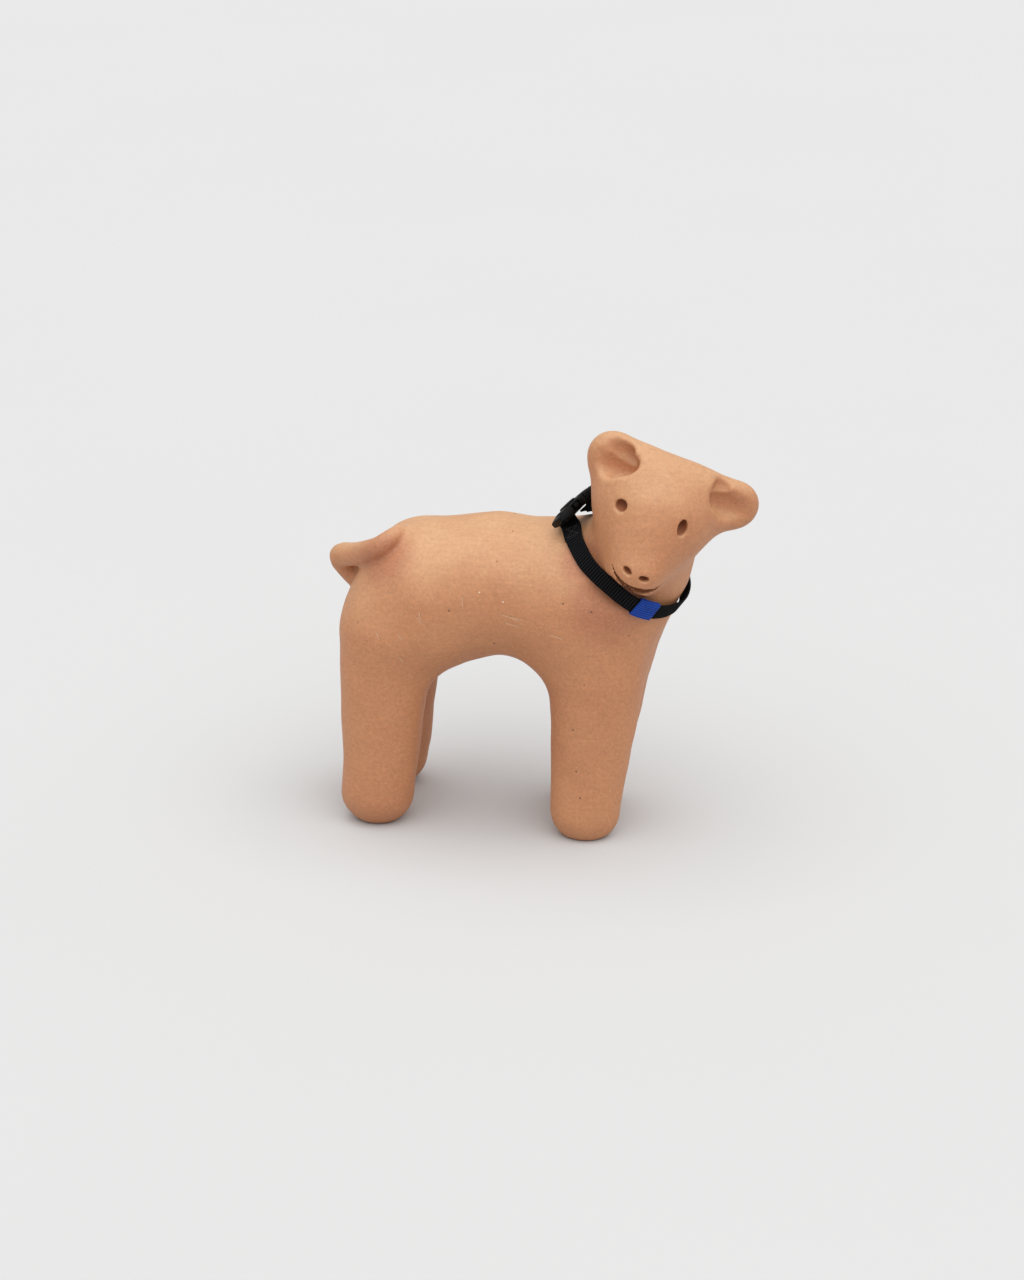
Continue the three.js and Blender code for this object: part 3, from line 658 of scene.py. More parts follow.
# Their sizes on the clay, and the shares of them where a mark is full and where it ends
SCRATCH_RADIUS = 0.42
PINHOLE_RADIUS = 0.55
SPECK_RADIUS = 0.42
SHADE_SPOT_RADII = (20, 13, 15)
SPOT_CORE, STROKE_CORE, MARK_EDGE = 0.5, 0.4, 1.5
# Painted shade darkens holes and the mouth, fully from this depth on
RECESS_SHADE_DEPTH = 2.2

CLAY_DEEP = (0.475, 0.197, 0.087)
CLAY_WARM = (0.515, 0.226, 0.101)
# Painted top light: a paler colour laid on up-facing surfaces, where the light from above falls
CLAY_PAINTED_TOP_LIGHT = (0.545, 0.31, 0.158)
CLAY_PATCH = (0.47, 0.19, 0.095)
# Painted shade under the chin, beside the collar and under the tail
CLAY_PAINTED_SHADE = (0.40, 0.148, 0.074)
CLAY_SAND = (0.62, 0.40, 0.24)
# Painted shade in holes and the mouth
CLAY_RECESS_SHADE = (0.29, 0.098, 0.040)
CLAY_SCRAPED = (0.66, 0.40, 0.25)
# Pinholes: painted shade inside them, the holes themselves only a bump
CLAY_PINHOLE_SHADE = (0.13, 0.05, 0.03)
CLAY_SPECK = (0.85, 0.74, 0.58)
# Pores: painted shade inside them, the pores themselves only a bump
CLAY_PORE_SHADE = (0.15, 0.05, 0.028)
STROKE_TURN = (0.3, 0.5, 0.2)
STROKE_STRETCH = (1, 6, 9)


def terracotta():
    paint = Paint("terracotta")
    broad = paint.noise(16, 2.0)
    patch = paint.noise(55, 4.0, 0.6)
    fine = paint.noise(520, 4.0, 0.65)
    sand = paint.noise(1300, 2.0, 0.6)
    drawn_out = {"Vector": paint.place, "Rotation": STROKE_TURN, "Scale": STROKE_STRETCH}
    strokes = paint.noise(60, 4.0, 0.6, at=paint.node("ShaderNodeMapping", drawn_out, "Vector"))

    colour = paint.ramp(broad, (0.35, CLAY_DEEP), (0.65, CLAY_WARM))
    # Painted top light on up-facing surfaces
    colour = paint.over(colour, CLAY_PAINTED_TOP_LIGHT, paint.noted("painted_top_light"), (0.1, 0.0), (0.5, 0.45), (1.0, 0.9))
    colour = paint.over(colour, CLAY_PATCH, patch, (0.42, 0.0), (0.72, 0.28))
    # Painted shade spots under the chin, beside the collar and under the tail
    shade_spots = [paint.near_spot(*pair) for pair in zip(seen_at(SHADE_SPOTS), SHADE_SPOT_RADII)]
    colour, _ = paint.marked(shade_spots, 0.75, colour, CLAY_PAINTED_SHADE)
    colour = paint.mix(0.09, colour, paint.ramp(strokes, (0.35, 0.3), (0.65, 0.7)), "OVERLAY")
    colour = paint.mix(0.2, colour, paint.ramp(fine, (0.3, 0.22), (0.7, 0.78)), "OVERLAY")
    colour = paint.over(colour, CLAY_SAND, sand, (0.60, 0.0), (0.70, 0.45))
    # Painted shade, darkest deep in holes and the mouth
    colour = paint.over(colour, CLAY_RECESS_SHADE, paint.noted("recess_shade"), (0.42, 0.0), (0.95, 1.0))
    ends = seen_at([end for scratch in SCRATCHES for end in scratch])
    scratches = [paint.near_stroke(*pair, SCRATCH_RADIUS) for pair in zip(ends[::2], ends[1::2])]
    colour, scratched = paint.marked(scratches, 0.5, colour, CLAY_SCRAPED)
    # Pinholes: a real dent in the bump, and painted shade as their dark colour
    holes = [paint.near_spot(spot, PINHOLE_RADIUS) for spot in seen_at(PINHOLES)]
    colour, holed = paint.marked(holes, 0.8, colour, CLAY_PINHOLE_SHADE)
    specks = [paint.near_spot(spot, SPECK_RADIUS) for spot in seen_at(PALE_SPECKS)]
    colour, _ = paint.marked(specks, 0.8, colour, CLAY_SPECK)
    # Pores: dark spots of painted shade, and dents in the bump below
    near_pore = paint.node("ShaderNodeTexVoronoi", {"Vector": paint.place, "Scale": 95}, "Distance")
    kept = paint.ramp(near_pore.node.outputs["Color"], (0.30, 1.0), (0.34, 0.0))
    pores = paint.maths("MULTIPLY", paint.ramp(near_pore, (0.035, 1.0), (0.075, 0.0)), kept)
    colour = paint.mix(pores, colour, CLAY_PORE_SHADE)

    relief = paint.bump(fine, 0.00025, 0.45)
    relief = paint.bump(strokes, 0.0006, 0.22, relief)
    pits = paint.strongest([pores, holed, scratched])
    relief = paint.bump(paint.maths("SUBTRACT", 1.0, pits), 0.0005, 0.6, relief)
    relief = paint.bump(patch, 0.0007, 0.3, relief)
    return paint.finish(colour, paint.ramp(patch, (0.3, 0.52), (0.7, 0.62)), relief)


# Collar: the strap's middle line, as the CAD solid has it, on a loose ring pushed clear of the clay
COLLAR_AT = np.array((73.5, -3.5, 162.0))
COLLAR_AXIS = unit(np.array((0.604, -0.134, 0.786)))
COLLAR_RADIUS = 37.4
COLLAR_SLACK = 3.6
COLLAR_SLACK_AT = 40
STRAP_WIDTH = 10.0
STRAP_THICKNESS = 1.2
STRAP_GAP = 0.7
STRAP_CLEAR = 1.1
STRAP_FROM, STRAP_TO, STRAP_STOPS, STRAP_STEPS = 240, 470, 28, 74
STRAP_NEAR = [(42.8, -10.3, 181.8), (44.2, -13.4, 181.5), (48.0, -24.2, 177.6)]
STRAP_FAR = [(14, 12, -7.4), (9, 6, -5)]
STRAP_TURN = 0.09
STRAP_ON_CLAY = 0.04
STRAP_ROUND = 0.8
CLEARING_ROUNDS = 20
CURVE_STEPS = 24
SLOPE_REACH = 0.2
OUT_SPREAD, LIFT_SPREAD = 3, 2
LIFT_ROUNDS = 3
LIFT_PLACES = (-0.5, -0.25, 0, 0.25, 0.5)
BUCKLE_AT = np.array((45.2, -9.6, 191.9))
BUCKLE_ALONG = unit(np.array((0.522, 0.734, 0.436)))
BUCKLE_OUT = unit(np.array((-0.719, 0.103, 0.687)))
TAG_FRAMES = (22, 26)
TAG_THICKNESS = 0.8
TAG_LIFT = 1.1
PART_GAP = 0.3


def buckle_axes():
    sideways = unit(np.cross(BUCKLE_OUT, BUCKLE_ALONG))
    return np.array((BUCKLE_ALONG, sideways, np.cross(BUCKLE_ALONG, sideways)))


BUCKLE = buckle_axes()


def collar_point(degrees):
    across = unit(np.cross((0, 1, 0), COLLAR_AXIS))
    aside = np.cross(COLLAR_AXIS, across)
    angle = radians(degrees)
    spoke = across * cos(angle) + aside * sin(angle)
    slack = max(0, cos(radians(degrees - COLLAR_SLACK_AT))) ** 4
    radius = COLLAR_RADIUS + COLLAR_SLACK * slack
    for _ in range(CLEARING_ROUNDS):
        radius += max(0, STRAP_CLEAR - clay_plain((COLLAR_AT + spoke * radius)[None])[0])
    return COLLAR_AT + spoke * radius


def centripetal(stops, count):
    """Evenly spaced points along a centripetal Catmull-Rom curve, and its length."""
    stops = np.vstack((2 * stops[0] - stops[1], stops, 2 * stops[-1] - stops[-2]))
    knots = np.append(0, np.cumsum(np.linalg.norm(np.diff(stops, axis=0), axis=1) ** 0.5))[:, None]
    dense = []
    for i in range(len(stops) - 3):
        k = knots[i:i + 4]
        for t in np.linspace(k[1, 0], k[2, 0], CURVE_STEPS, endpoint=False):
            rows = stops[i:i + 4]
            for low, high in ((k[:3], k[1:]), (k[:2], k[2:]), (k[1:2], k[2:3])):
                rows = ((high - t) * rows[:-1] + (t - low) * rows[1:]) / (high - low)
            dense.append(rows[0])
    return spaced(np.array(dense + [stops[-2]]), count)


def spaced(dense, count):
    """Evenly spaced points along a line of many short steps, and its length."""
    run = np.append(0, np.cumsum(np.linalg.norm(np.diff(dense, axis=0), axis=1)))
    even = np.linspace(0, run[-1], count + 1)
    return np.column_stack([np.interp(even, run, column) for column in dense.T]), run[-1]


def neighbours(spread):
    """The numbers of the frames round each frame."""
    return np.clip(np.arange(STRAP_STEPS + 1)[:, None] + np.arange(-spread, spread + 1), 0, STRAP_STEPS)


def strap_frames():
    """Places along the strap, the outward direction at each, and the strap's length."""
    turns = np.linspace(STRAP_FROM, STRAP_TO, STRAP_STOPS + 1)
    far = [BUCKLE_AT + np.array(stop) @ BUCKLE for stop in STRAP_FAR]
    stops = np.array([*STRAP_NEAR, *map(collar_point, turns), *far], float)
    at, length = centripetal(stops, STRAP_STEPS)
    along = unit(np.gradient(at, axis=0))
    steps = np.arange(STRAP_STEPS + 1)
    share = (steps / STRAP_STEPS)[:, None]
    level = np.clip(1 - (1 - share) / STRAP_TURN, 0, 1)
    rounding = STRAP_ROUND * np.clip((share - STRAP_ON_CLAY) / STRAP_TURN, 0, 1)
    spoke = at - COLLAR_AT
    spoke = unit(spoke - (spoke @ COLLAR_AXIS)[:, None] * COLLAR_AXIS)
    raw = unit(slope_of(clay_plain, at, SLOPE_REACH)) * (1 - rounding) + spoke * rounding
    raw = raw * (1 - level) + BUCKLE_OUT * level
    out = raw[neighbours(OUT_SPREAD)].sum(1)
    out = unit(out - (out * along).sum(1, keepdims=True) * along)
    side = np.cross(out, along)
    behind = np.where((steps >= TAG_FRAMES[0] - 1) & (steps <= TAG_FRAMES[1] + 1), TAG_LIFT, 0)
    lift = np.zeros(STRAP_STEPS + 1)
    for _ in range(LIFT_ROUNDS):
        missing = np.zeros(STRAP_STEPS + 1)
        for place in LIFT_PLACES:
            inner = at + side * place * STRAP_WIDTH + out * (lift - STRAP_THICKNESS / 2)[:, None]
            missing = np.maximum(missing, STRAP_GAP + behind - clay_plain(inner))
        lift += missing
    nearby = neighbours(LIFT_SPREAD)
    lift = lift[nearby].max(1)[nearby].mean(1)
    return at + out * lift[:, None], out, length


FRAME_AT, FRAME_OUT, STRAP_LENGTH = strap_frames()


def frames_at(places):
    """Frames at fractional frame numbers, on a smooth curve through the frames."""
    places = np.asarray(places, float)
    k = np.clip(np.floor(places).astype(int), 0, STRAP_STEPS - 1)
    w = (places - k)[:, None]
    four = (np.maximum(k - 1, 0), k, k + 1, np.minimum(k + 2, STRAP_STEPS))
    at, out = (between(*(rows[n] for n in four), w) for rows in (FRAME_AT, FRAME_OUT))
    along = unit(between(*(FRAME_AT[n] for n in four), w, True))
    out = unit(out - (out * along).sum(1, keepdims=True) * along)
    return at, along, out, np.cross(out, along)


def tube(rings, closed_ends=True):
    """Faces over rings of points, all with the same number of points."""
    rings = np.asarray(rings)
    count, around = rings.shape[:2]
    i, j = np.meshgrid(np.arange(count - 1), np.arange(around), indexing="ij")
    a = (i * around + j).ravel()
    b = (i * around + (j + 1) % around).ravel()
    faces = np.column_stack((a, b, b + around, a + around)).tolist()
    if closed_ends:
        faces.append(list(range(around))[::-1])
        faces.append([(count - 1) * around + n for n in range(around)])
    return rings.reshape(-1, 3), faces


def joined(parts):
    points, faces, base = [], [], 0
    for piece, sides in parts:
        points.append(np.asarray(piece))
        faces.extend([[v + base for v in face] for face in sides])
        base += len(piece)
    return np.concatenate(points), faces


# The four corners of a section, each with the angle at which its arc starts
CORNERS = ((1, 1, 0), (-1, 1, 90), (-1, -1, 180), (1, -1, 270))
CORNER_POINTS = 4
ACROSS_FACE = 7


def corner_arcs(half_width, half_thick, corner, count):
    """Points (sideways, out) round each corner of a section."""
    arcs = []
    for way, rise, start in CORNERS:
        angles = np.radians(np.linspace(start, start + 90, count))
        centre = (way * (half_width - corner), rise * (half_thick - corner))
        arcs.append(centre + corner * np.column_stack((np.cos(angles), np.sin(angles))))
    return arcs


def rounded_section(half_width, half_thick, corner):
    """A closed ring with rounded corners and points across its two faces."""
    arcs = corner_arcs(half_width, half_thick, corner, CORNER_POINTS)
    faces = [np.linspace(a[-1], b[0], ACROSS_FACE + 2)[1:-1] for a, b in (arcs[:2], arcs[2:])]
    return np.concatenate((arcs[0], faces[0], arcs[1], arcs[2], faces[1], arcs[3]))


# Webbing: ribs run across it, low at its selvedges
RIB_PITCH = 1.5
RIB_HEIGHT = 0.34
RIB_ROUNDING = 0.7
SELVEDGE = 1.0
SELVEDGE_FADE = 0.4
SELVEDGE_RIBS = 0.12
STRAP_CORNER = 0.42
# The near end is folded back and sewn down
SEWN_LENGTH = 15.0
SEWN_RISE = 0.55
SEWN_SPREAD = 0.05
SEWN_FADE = 1.2
# Slow waves keep its width and edges from being quite even: heights, lengths and phases
WIDTH_WAVE, WIDTH_WAVE_LENGTH = 0.012, 3.7
EDGE_WAVES = ((0.12, 7.3, 0), (0.06, 2.9, 1))
EDGE_CURL = 0.3
# It runs on under the buckle and rises towards it
TUCK_LENGTH = 6.5
TUCK_RISE = 1.6


def ribbed(section, run, half_width):
    """Heights of a band's skin at each place along it and each point of its section."""
    inward = (half_width - SELVEDGE - np.abs(section[:, 0])) / SELVEDGE_FADE
    face = np.clip(inward, SELVEDGE_RIBS, 1) * np.sign(section[:, 1])
    rib = RIB_HEIGHT * (np.abs(np.sin(pi * run / RIB_PITCH)) ** RIB_ROUNDING - 1)
    return section[:, 1] + rib[:, None] * face


def band(name, rings, run, section):
    obj = make_object(name, *tube(rings), webbing())
    note(obj, "along", np.repeat(run, len(section)))
    note(obj, "across", np.tile(section[:, 0], len(run)))
    return obj


def strap():
    step = RIB_PITCH / 6
    count = round((STRAP_LENGTH + TUCK_LENGTH) / step)
    run = np.linspace(-TUCK_LENGTH, STRAP_LENGTH, count + 1)
    at, along, out, side = frames_at(np.maximum(run, 0) / STRAP_LENGTH * STRAP_STEPS)
    tucked = np.minimum(run, 0)[:, None]
    at = at + along * tucked + out * TUCK_RISE * (tucked / TUCK_LENGTH) ** 2
    half = STRAP_WIDTH / 2
    section = rounded_section(half, STRAP_THICKNESS / 2, STRAP_CORNER)
    sewn = np.clip((SEWN_LENGTH - run) / SEWN_FADE, 0, 1)
    sewn = sewn * sewn * (3 - 2 * sewn)
    width = 1 + WIDTH_WAVE * np.sin(run / WIDTH_WAVE_LENGTH) + SEWN_SPREAD * sewn
    waver = sum(height * np.sin(run / length + phase) for height, length, phase in EDGE_WAVES)
    across = section[:, 0] * width[:, None]
    curl = EDGE_CURL * np.minimum(waver, 0)[:, None] * (np.abs(section[:, 0]) / half) ** 2
    height = ribbed(section, run, half) - curl
    height = height + (section[:, 1] > 0) * SEWN_RISE * sewn[:, None]
    rings = at[:, None] + side[:, None] * across[..., None] + out[:, None] * height[..., None]
    return band("webbing_strap", rings, run, section)


# The webbing that leaves the plug and turns behind the head: steps to the right, up and away
# from the camera, counted from the buckle's middle
LOOP_STOPS = [(6.5, 0.4, 2), (8.5, 1, 3.5), (10.5, 1.8, 6), (12.5, 2.6, 9), (14.5, 3.3, 13),
              (16, 4, 18), (17, 4.5, 24)]
LOOP_WIDTH = 7.2
LOOP_STEPS = 96


def strap_loop():
    stops = BUCKLE_AT + np.array(LOOP_STOPS) @ np.array((RIGHT, UP, AWAY))
    at, length = centripetal(stops, LOOP_STEPS)
    run = np.linspace(0, length, len(at))
    along = unit(np.gradient(at, axis=0))
    across = unit(UP - (along @ UP)[:, None] * along)
    out = np.cross(along, across)
    section = rounded_section(LOOP_WIDTH / 2, STRAP_THICKNESS / 2, STRAP_CORNER)
    height = ribbed(section, run, LOOP_WIDTH / 2)
    rings = at[:, None] + across[:, None] * section[:, :1] + out[:, None] * height[..., None]
    return band("strap_loop", rings, run, section)


# A stitch rises out of the webbing and thins towards its ends
STITCH_RADIUS = 0.2
STITCH_AROUND, STITCH_RINGS = 8, 7
STITCH_RISE, STITCH_SINK = 0.9, 0.5
STITCH_END_BOW, STITCH_THINNEST = 0.15, 0.3
STITCHES = 6
STITCH_START, STITCH_END = 0.12, 0.88
SEAM_NEAR, SEAM_FAR, SEAM_INSET = 6.0, 13.2, 1.6


def stitch(start, end):
    """One raised stitch between two (place along the strap, sideways, height) ends."""
    turn = np.linspace(0, 2 * pi, STITCH_AROUND, endpoint=False)[:, None]
    rings = []
    for share in np.linspace(0, 1, STITCH_RINGS):
        run, aside, height = start + (end - start) * share
        at, along, out, side = (rows[0] for rows in frames_at([run / STRAP_LENGTH * STRAP_STEPS]))
        bow = sin(pi * share) ** 0.5 if 0 < share < 1 else STITCH_END_BOW
        lift = STITCH_RADIUS * (STITCH_RISE * bow - STITCH_SINK)
        lean = unit(np.cross(out, unit(along * (end - start)[0] + side * (end - start)[1])))
        ring = STITCH_RADIUS * max(bow, STITCH_THINNEST) * (np.cos(turn) * lean + np.sin(turn) * out)
        rings.append(at + side * aside + out * (height + lift) + ring)
    return tube(rings)


def seam(start, end, height):
    """A row of stitches between two (place along the strap, sideways) ends."""
    start, end = np.array((*start, height)), np.array((*end, height))
    ends = [[start + (end - start) * (n + share) / STITCHES for share in (STITCH_START, STITCH_END)]
            for n in range(STITCHES)]
    return joined([stitch(*pair) for pair in ends])


def strap_stitches():
    height = STRAP_THICKNESS / 2 + SEWN_RISE
    edge = STRAP_WIDTH / 2 - SEAM_INSET
    near, far = ([(place, -edge), (place, edge)] for place in (SEAM_NEAR, SEAM_FAR))
    lines = (near, far, (near[0], far[1]), (near[1], far[0]))
    seams = joined([seam(*line, height) for line in lines])
    return make_object("strap_stitches", *seams, thread("black_thread", BLACK_THREAD))


# Buckle, in its own directions: sections of (along, half width, low, high) and cuts of two corners
SOCKET_SHELL = [(-15, 6.3, -1.9, 1.9), (-12.6, 6.75, -2.5, 2.5), (-9, 7.7, -3.2, 3.2), (-4, 7.75, -3.2, 3.2),
                (2, 7.7, -3.15, 3.15), (4.2, 7.15, -3.05, 3.05), (5, 7.0, -3.0, 3.0)]
SOCKET_RIDGE = [(-6, 5.0, 2.4, 4.05), (-5, 5.1, 2.4, 4.1), (0, 5.1, 2.4, 4.1), (1, 5.0, 2.4, 4.0)]
SOCKET_RIM = [(3.2, 7.05, -3.2, 3.2), (5.0, 7.0, -3.2, 3.2)]
SOCKET_POCKET = ((-6.5, -6.2, -1.9), (6, 6.2, 1.9))
SOCKET_WINDOWS = ((-5.5, -9, -1.9), (0.5, 9, 1.9))
SOCKET_SLOT = ((-12.6, -5.4, -4), (-10.4, 5.4, 4))
PLUG_SHELL = [(5.3, 7.0, -3.0, 3.0), (8, 7.2, -3.0, 3.0), (11, 6.8, -2.6, 2.6), (13.5, 6.5, -2.15, 2.15),
              (15, 6.3, -1.9, 1.9)]
PLUG_SLOT = ((10.4, -5.4, -4), (12.6, 5.4, 4))
PLUG_TONGUE = [(-2.5, 1.4, -1.5, 1.5), (6.2, 1.4, -1.5, 1.5)]
# A prong's (along, sideways, half width, half height)
PRONG = [(-4.8, 4.6, 0.5, 1.3), (-3.4, 6.3, 0.9, 1.55), (-1.5, 6.4, 1.1, 1.55), (0.2, 5.7, 1.1, 1.55),
         (3, 4.6, 0.9, 1.55), (6, 4.5, 0.9, 1.5)]
PRONG_AROUND = 16
SHELL_SQUARENESS, RIDGE_SQUARENESS, PRONG_SQUARENESS = 4.5, 6, 4
# A rounded end as (way in, share drawn in), and how much less it is drawn in upwards
END_STEPS = ((0, 1), (0.3, 0.45), (1, 0.05))
END_UPWARD = 0.8
CREASE = radians(38)


def loft(stations, squareness=SHELL_SQUARENESS, around=40):
    """A closed body over (along, half width, low, high) sections with rounded corners."""
    turn = np.linspace(0, 2 * pi, around, endpoint=False)
    c, s = np.cos(turn), np.sin(turn)
    ring_x = np.sign(c) * np.abs(c) ** (2 / squareness)
    ring_z = np.sign(s) * np.abs(s) ** (2 / squareness)
    rings = []
    for along, half, low, high in stations:
        middle, tall = (low + high) / 2, (high - low) / 2
        rings.append(np.column_stack((np.full(around, along), ring_x * half, middle + ring_z * tall)))
    return tube(rings)


def softened(stations, round_end=0.5):
    """The same sections, with each end drawn in over a short length."""
    def drawn(station, way, steps):
        along, half, low, high = station
        for inward, share in steps:
            cut = round_end * share
            rise = cut * END_UPWARD
            yield along + way * inward * round_end, half - cut, low + rise, high - rise

    return [*drawn(stations[0], 1, END_STEPS), *stations[1:-1], *drawn(stations[-1], -1, END_STEPS[::-1])]


def prong(way):
    """A spring arm on one side of the plug."""
    sections = [(along, half, -tall, tall) for along, _, half, tall in PRONG]
    points, faces = loft(sections, PRONG_SQUARENESS, PRONG_AROUND)
    points[:, 1] += way * np.repeat([aside for _, aside, _, _ in PRONG], PRONG_AROUND)
    return points, faces


BOX_SIDES = [[0, 1, 3, 2], [4, 6, 7, 5], [0, 4, 5, 1], [2, 3, 7, 6], [0, 2, 6, 4], [1, 5, 7, 3]]


def cut_with(obj, cuts):
    """Cuts boxes, given by two opposite corners, out of an object's mesh."""
    for cut in cuts:
        corners = np.array(list(product(*zip(*cut))))
        box = make_object("cutter", BUCKLE_AT + corners @ BUCKLE, BOX_SIDES)
        boolean = obj.modifiers.new("cut", "BOOLEAN")
        boolean.operation = "DIFFERENCE"
        boolean.solver = "EXACT"
        boolean.object = box
        mesh = bpy.data.meshes.new_from_object(obj.evaluated_get(bpy.context.evaluated_depsgraph_get()))
        obj.modifiers.clear()
        obj.data = mesh
        bpy.data.objects.remove(box)


def moulded(name, shape, material, cuts=()):
    """A plastic piece in its place, smooth but for its crisp edges."""
    points, faces = shape
    obj = make_object(name, BUCKLE_AT + points @ BUCKLE, faces, material)
    cut_with(obj, cuts)
    obj.data.set_sharp_from_angle(angle=CREASE)
    return obj


def socket():
    material = plastic("socket_plastic")
    raised = joined([loft(softened(SOCKET_RIDGE, 0.35), RIDGE_SQUARENESS),
                     loft(softened(SOCKET_RIM, 0.3), RIDGE_SQUARENESS)])
    cuts = (SOCKET_POCKET, SOCKET_WINDOWS, SOCKET_SLOT)
    return [moulded("socket_shell", loft(softened(SOCKET_SHELL)), material, cuts),
            moulded("socket_ridge", raised, material)]


def plug():
    material = plastic("plug_plastic")
    inner = joined([prong(-1), prong(1), loft(softened(PLUG_TONGUE, 0.3), RIDGE_SQUARENESS)])
    return [moulded("plug_shell", loft(softened(PLUG_SHELL)), material, (PLUG_SLOT,)),
            moulded("plug_prongs", inner, material)]


# Tag: a ribbon folded round the strap, its ribs running along the strap
TAG_RIB_PITCH = 1.45
TAG_RIB_HEIGHT = 0.16
TAG_RIB_ROUNDING = 0.8
TAG_CORNER = 1.3
TAG_CORNER_SHARE = 0.95
TAG_HEM, TAG_HEM_DROP = 0.12, 0.12
TAG_SKIN = 0.02
TAG_PLACES = 41
ARC_STEPS = 24
TAG_STITCH_AT = 2.6
TAG_STITCH_FALL = 0.3
TAG_STITCH_INSETS = (1.0, 1.2)
TAG_STITCH_SUNK = 0.05


def tag_loop(grow, count):
    """Points round the strap at a distance, as (sideways, out), and the way round."""
    half_thick = STRAP_THICKNESS / 2 + grow
    corner = min(half_thick * TAG_CORNER_SHARE, TAG_CORNER)
    arcs = np.concatenate(corner_arcs(STRAP_WIDTH / 2 + grow, half_thick, corner, ARC_STEPS))
    points, length = spaced(np.vstack((arcs, arcs[:1])), count)
    return points[:-1], length


def tag():
    around = 200
    inner, _ = tag_loop(PART_GAP, around)
    outer, total = tag_loop(PART_GAP + TAG_THICKNESS - TAG_SKIN, around)
    ribs = round(total / TAG_RIB_PITCH)
    wave = np.abs(np.sin(pi * ribs * np.arange(around) / around)) ** TAG_RIB_ROUNDING - 1
    ways = unit(outer - inner)
    first, last = TAG_FRAMES
    places = np.linspace(first, last, TAG_PLACES)
    ends = np.clip(np.minimum(places - first, last - places) / TAG_HEM, 0, 1)
    at, _, out, side = frames_at(places)

    relief = TAG_RIB_HEIGHT * wave - TAG_HEM_DROP * (1 - ends[:, None])
    loops = np.concatenate((outer + ways * relief[..., None], np.tile(inner, (TAG_PLACES, 1, 1))))
    at, out, side = (np.concatenate((rows, rows[::-1]))[:, None] for rows in (at, out, side))
    rings = at + side * loops[..., :1] + out * loops[..., 1:]
    points, faces = tube(rings, closed_ends=False)
    start = len(points) - around
    faces += [[start + n, start + (n + 1) % around, (n + 1) % around, n] for n in range(around)]
    obj = make_object("ribbon_sleeve", points, faces, ribbon())
    # Where the grooves lie, for the painted shade in them
    note(obj, "groove_shade", np.tile(-wave, len(rings)))
    return obj


def tag_stitches():
    height = STRAP_THICKNESS / 2 + PART_GAP + TAG_THICKNESS - TAG_STITCH_SUNK
    start, end = (frame / STRAP_STEPS * STRAP_LENGTH for frame in TAG_FRAMES)
    row = seam((start + TAG_STITCH_INSETS[0], TAG_STITCH_AT),
               (end - TAG_STITCH_INSETS[1], TAG_STITCH_AT - TAG_STITCH_FALL), height)
    return make_object("tag_stitches", *row, thread("navy_thread", NAVY_THREAD))


# Collar materials
WEBBING_DARK, WEBBING_PALE = (0.0012, 0.0012, 0.0014), (0.0020, 0.0020, 0.0023)
WEBBING_FUZZ = (0.006, 0.006, 0.0065)
WEBBING_THREAD = (0.005, 0.005, 0.0055)
# Painted highlight along the crests of the ribs
WEBBING_CREST_HIGHLIGHT = (0.017, 0.017, 0.019)
WEBBING_THREAD_WIDTH = 0.62
BLACK_THREAD = (0.02, 0.02, 0.022)
NAVY_THREAD = (0.006, 0.012, 0.09)
PLASTIC_DARK, PLASTIC_PALE = (0.0022, 0.0023, 0.0025), (0.0038, 0.0038, 0.0041)
PLASTIC_SCUFF = (0.011, 0.011, 0.0115)
RIBBON_DARK, RIBBON_PALE = (0.006, 0.040, 0.27), (0.010, 0.060, 0.37)
RIBBON_FIBRE = (0.022, 0.105, 0.52)
# Painted shade in the grooves between the ribs
RIBBON_GROOVE_SHADE = (0.003, 0.014, 0.11)


def webbing():
    paint = Paint("black_webbing")
    fuzz = paint.noise(1500, 3.0, 0.7)

    def wave(name, length):
        return paint.maths("SINE", paint.maths("MULTIPLY", paint.noted(name), 2 * pi / length))

    weave = paint.maths("MULTIPLY", wave("along", RIB_PITCH), wave("across", WEBBING_THREAD_WIDTH))
    threads = paint.maths("ADD", paint.maths("MULTIPLY", weave, 0.5), 0.5)
    crest_highlight = paint.maths("ABSOLUTE", wave("along", 2 * RIB_PITCH))
    colour = paint.ramp(paint.noise(60, 2.0), (0.3, WEBBING_DARK), (0.7, WEBBING_PALE))
    colour = paint.over(colour, WEBBING_FUZZ, fuzz, (0.45, 0.0), (0.8, 0.4))
    colour = paint.over(colour, WEBBING_THREAD, threads, (0.2, 0.0), (0.95, 0.3))
    # Painted highlight on the rib crests
    colour = paint.over(colour, WEBBING_CREST_HIGHLIGHT, crest_highlight, (0.6, 0.0), (0.97, 0.8))
    relief = paint.bump(fuzz, 0.0001, 0.5, paint.bump(threads, 0.00012, 0.7))
    return paint.finish(colour, paint.ramp(fuzz, (0.3, 0.72), (0.8, 0.92)), relief, 0.04)


def thread(name, colour):
    paint = Paint(name)
    twist = paint.noise(2600, 2.0)
    pale = tuple(min(1.0, part * 1.9) for part in colour)
    relief = paint.bump(twist, 0.0001, 0.6)
    return paint.finish(paint.ramp(twist, (0.35, colour), (0.7, pale)), 0.6, relief)


def plastic(name):
    paint = Paint(name)
    grain = paint.noise(2200, 3.0, 0.6)
    rub = paint.noise(320, 5.0, 0.7, 1.2)
    colour = paint.ramp(paint.noise(90, 2.0), (0.3, PLASTIC_DARK), (0.7, PLASTIC_PALE))
    colour = paint.over(colour, PLASTIC_SCUFF, rub, (0.60, 0.0), (0.76, 0.4))
    relief = paint.bump(grain, 0.00006, 0.35)
    return paint.finish(colour, paint.ramp(rub, (0.35, 0.4), (0.7, 0.58)), relief, 0.11)


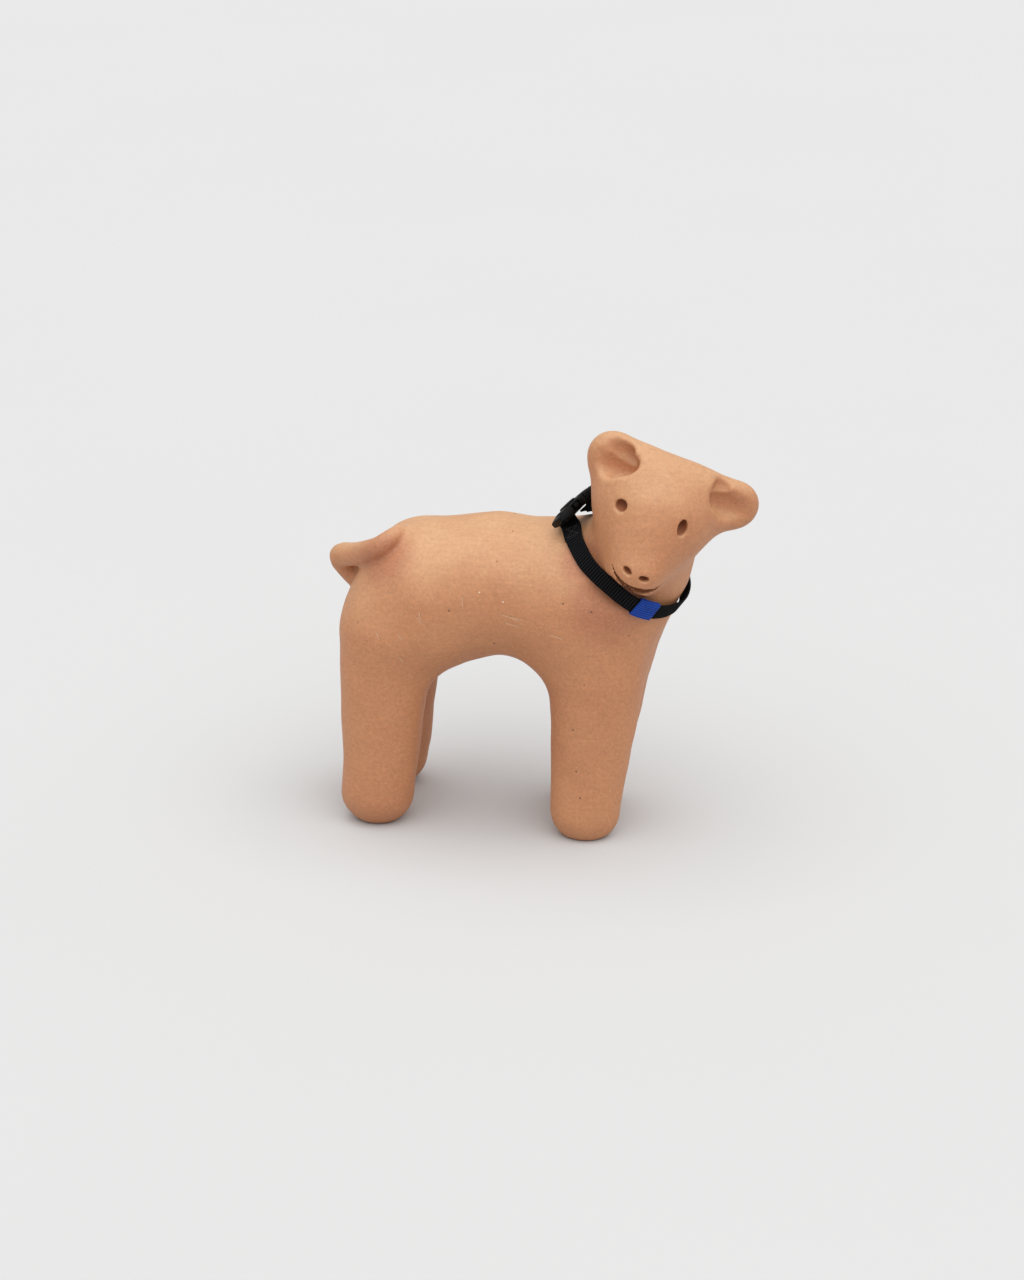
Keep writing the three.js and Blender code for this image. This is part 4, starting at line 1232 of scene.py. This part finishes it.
def ribbon():
    paint = Paint("blue_ribbon")
    fibre = paint.noise(1900, 4.0, 0.7)
    colour = paint.ramp(paint.noise(160, 2.0), (0.3, RIBBON_DARK), (0.7, RIBBON_PALE))
    colour = paint.over(colour, RIBBON_FIBRE, fibre, (0.4, 0.0), (0.75, 0.5))
    # Painted shade in the ribbon's grooves
    colour = paint.over(colour, RIBBON_GROOVE_SHADE, paint.noted("groove_shade"), (0.2, 0.0), (0.62, 0.85))
    relief = paint.bump(fibre, 0.00012, 0.6)
    return paint.finish(colour, paint.ramp(fibre, (0.3, 0.7), (0.8, 0.9)), relief, 0.2)


# The floor and the light, in metres
FLOOR_HALF = 60.0
FLOOR_GREY = 0.556
WORLD_STRENGTH = 0.64
KEY_FROM = Vector((0.12, -0.25, 0.96))
KEY_SPREAD = 85
KEY_STRENGTH = 2.7


def pale_floor():
    paint = Paint("pale_floor")
    colour = paint.ramp(paint.noise(3, 2.0), (0.3, FLOOR_GREY), (0.7, FLOOR_GREY + 0.004))
    corners = [(x * FLOOR_HALF, y * FLOOR_HALF, 0) for x, y in ((-1, -1), (1, -1), (1, 1), (-1, 1))]
    mesh = bpy.data.meshes.new("floor")
    mesh.from_pydata(corners, [], [(0, 1, 2, 3)])
    mesh.materials.append(paint.finish(colour, 0.9, specular=0.1))
    placed("floor", mesh)


def lights():
    world = bpy.data.worlds.new("studio")
    world.use_nodes = True
    background = world.node_tree.nodes["Background"]
    background.inputs["Color"].default_value = (1, 1, 1, 1)
    background.inputs["Strength"].default_value = WORLD_STRENGTH
    bpy.context.scene.world = world
    bpy.context.scene.view_settings.view_transform = "Standard"
    key = bpy.data.lights.new("key", "SUN")
    key.angle = radians(KEY_SPREAD)
    key.energy = KEY_STRENGTH
    obj = placed("key", key)
    obj.location = KEY_FROM
    obj.rotation_euler = (-KEY_FROM).to_track_quat("-Z", "Y").to_euler()


def camera():
    data = bpy.data.cameras.new("camera")
    data.sensor_fit = "VERTICAL"
    data.sensor_height = CAMERA_SENSOR
    data.lens = CAMERA_LENS
    data.clip_end = CAMERA_CLIP_M
    obj = placed("camera", data)
    obj.location = (CAMERA_AT + STANCE) * MM
    obj.rotation_euler = (pi / 2 - CAMERA_ELEVATION, 0, CAMERA_AZIMUTH)
    bpy.context.scene.camera = obj


def clay():
    points, faces = clay_mesh()
    obj = make_object("clay_body", points, faces, terracotta())
    # Depth below the bare form, for the painted shade in holes and the mouth
    note(obj, "recess_shade", np.clip(-clay_plain(points) / RECESS_SHADE_DEPTH, 0, 1))
    normals = np.zeros(len(points) * 3)
    obj.data.vertices.foreach_get("normal", normals)
    # How much each vertex faces up, for the painted top light
    note(obj, "painted_top_light", np.clip(normals.reshape(-1, 3)[:, 2], 0, 1))
    return obj


def wear(pieces, node):
    for piece in pieces:
        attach(piece, "root")
        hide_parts(node)


wear([clay()], "clay_dog")
wear([strap(), strap_stitches(), strap_loop()], "collar_strap")
wear(socket(), "buckle_socket")
wear(plug(), "buckle_plug")
wear([tag(), tag_stitches()], "ribbon_tag")

pale_floor()
lights()
camera()
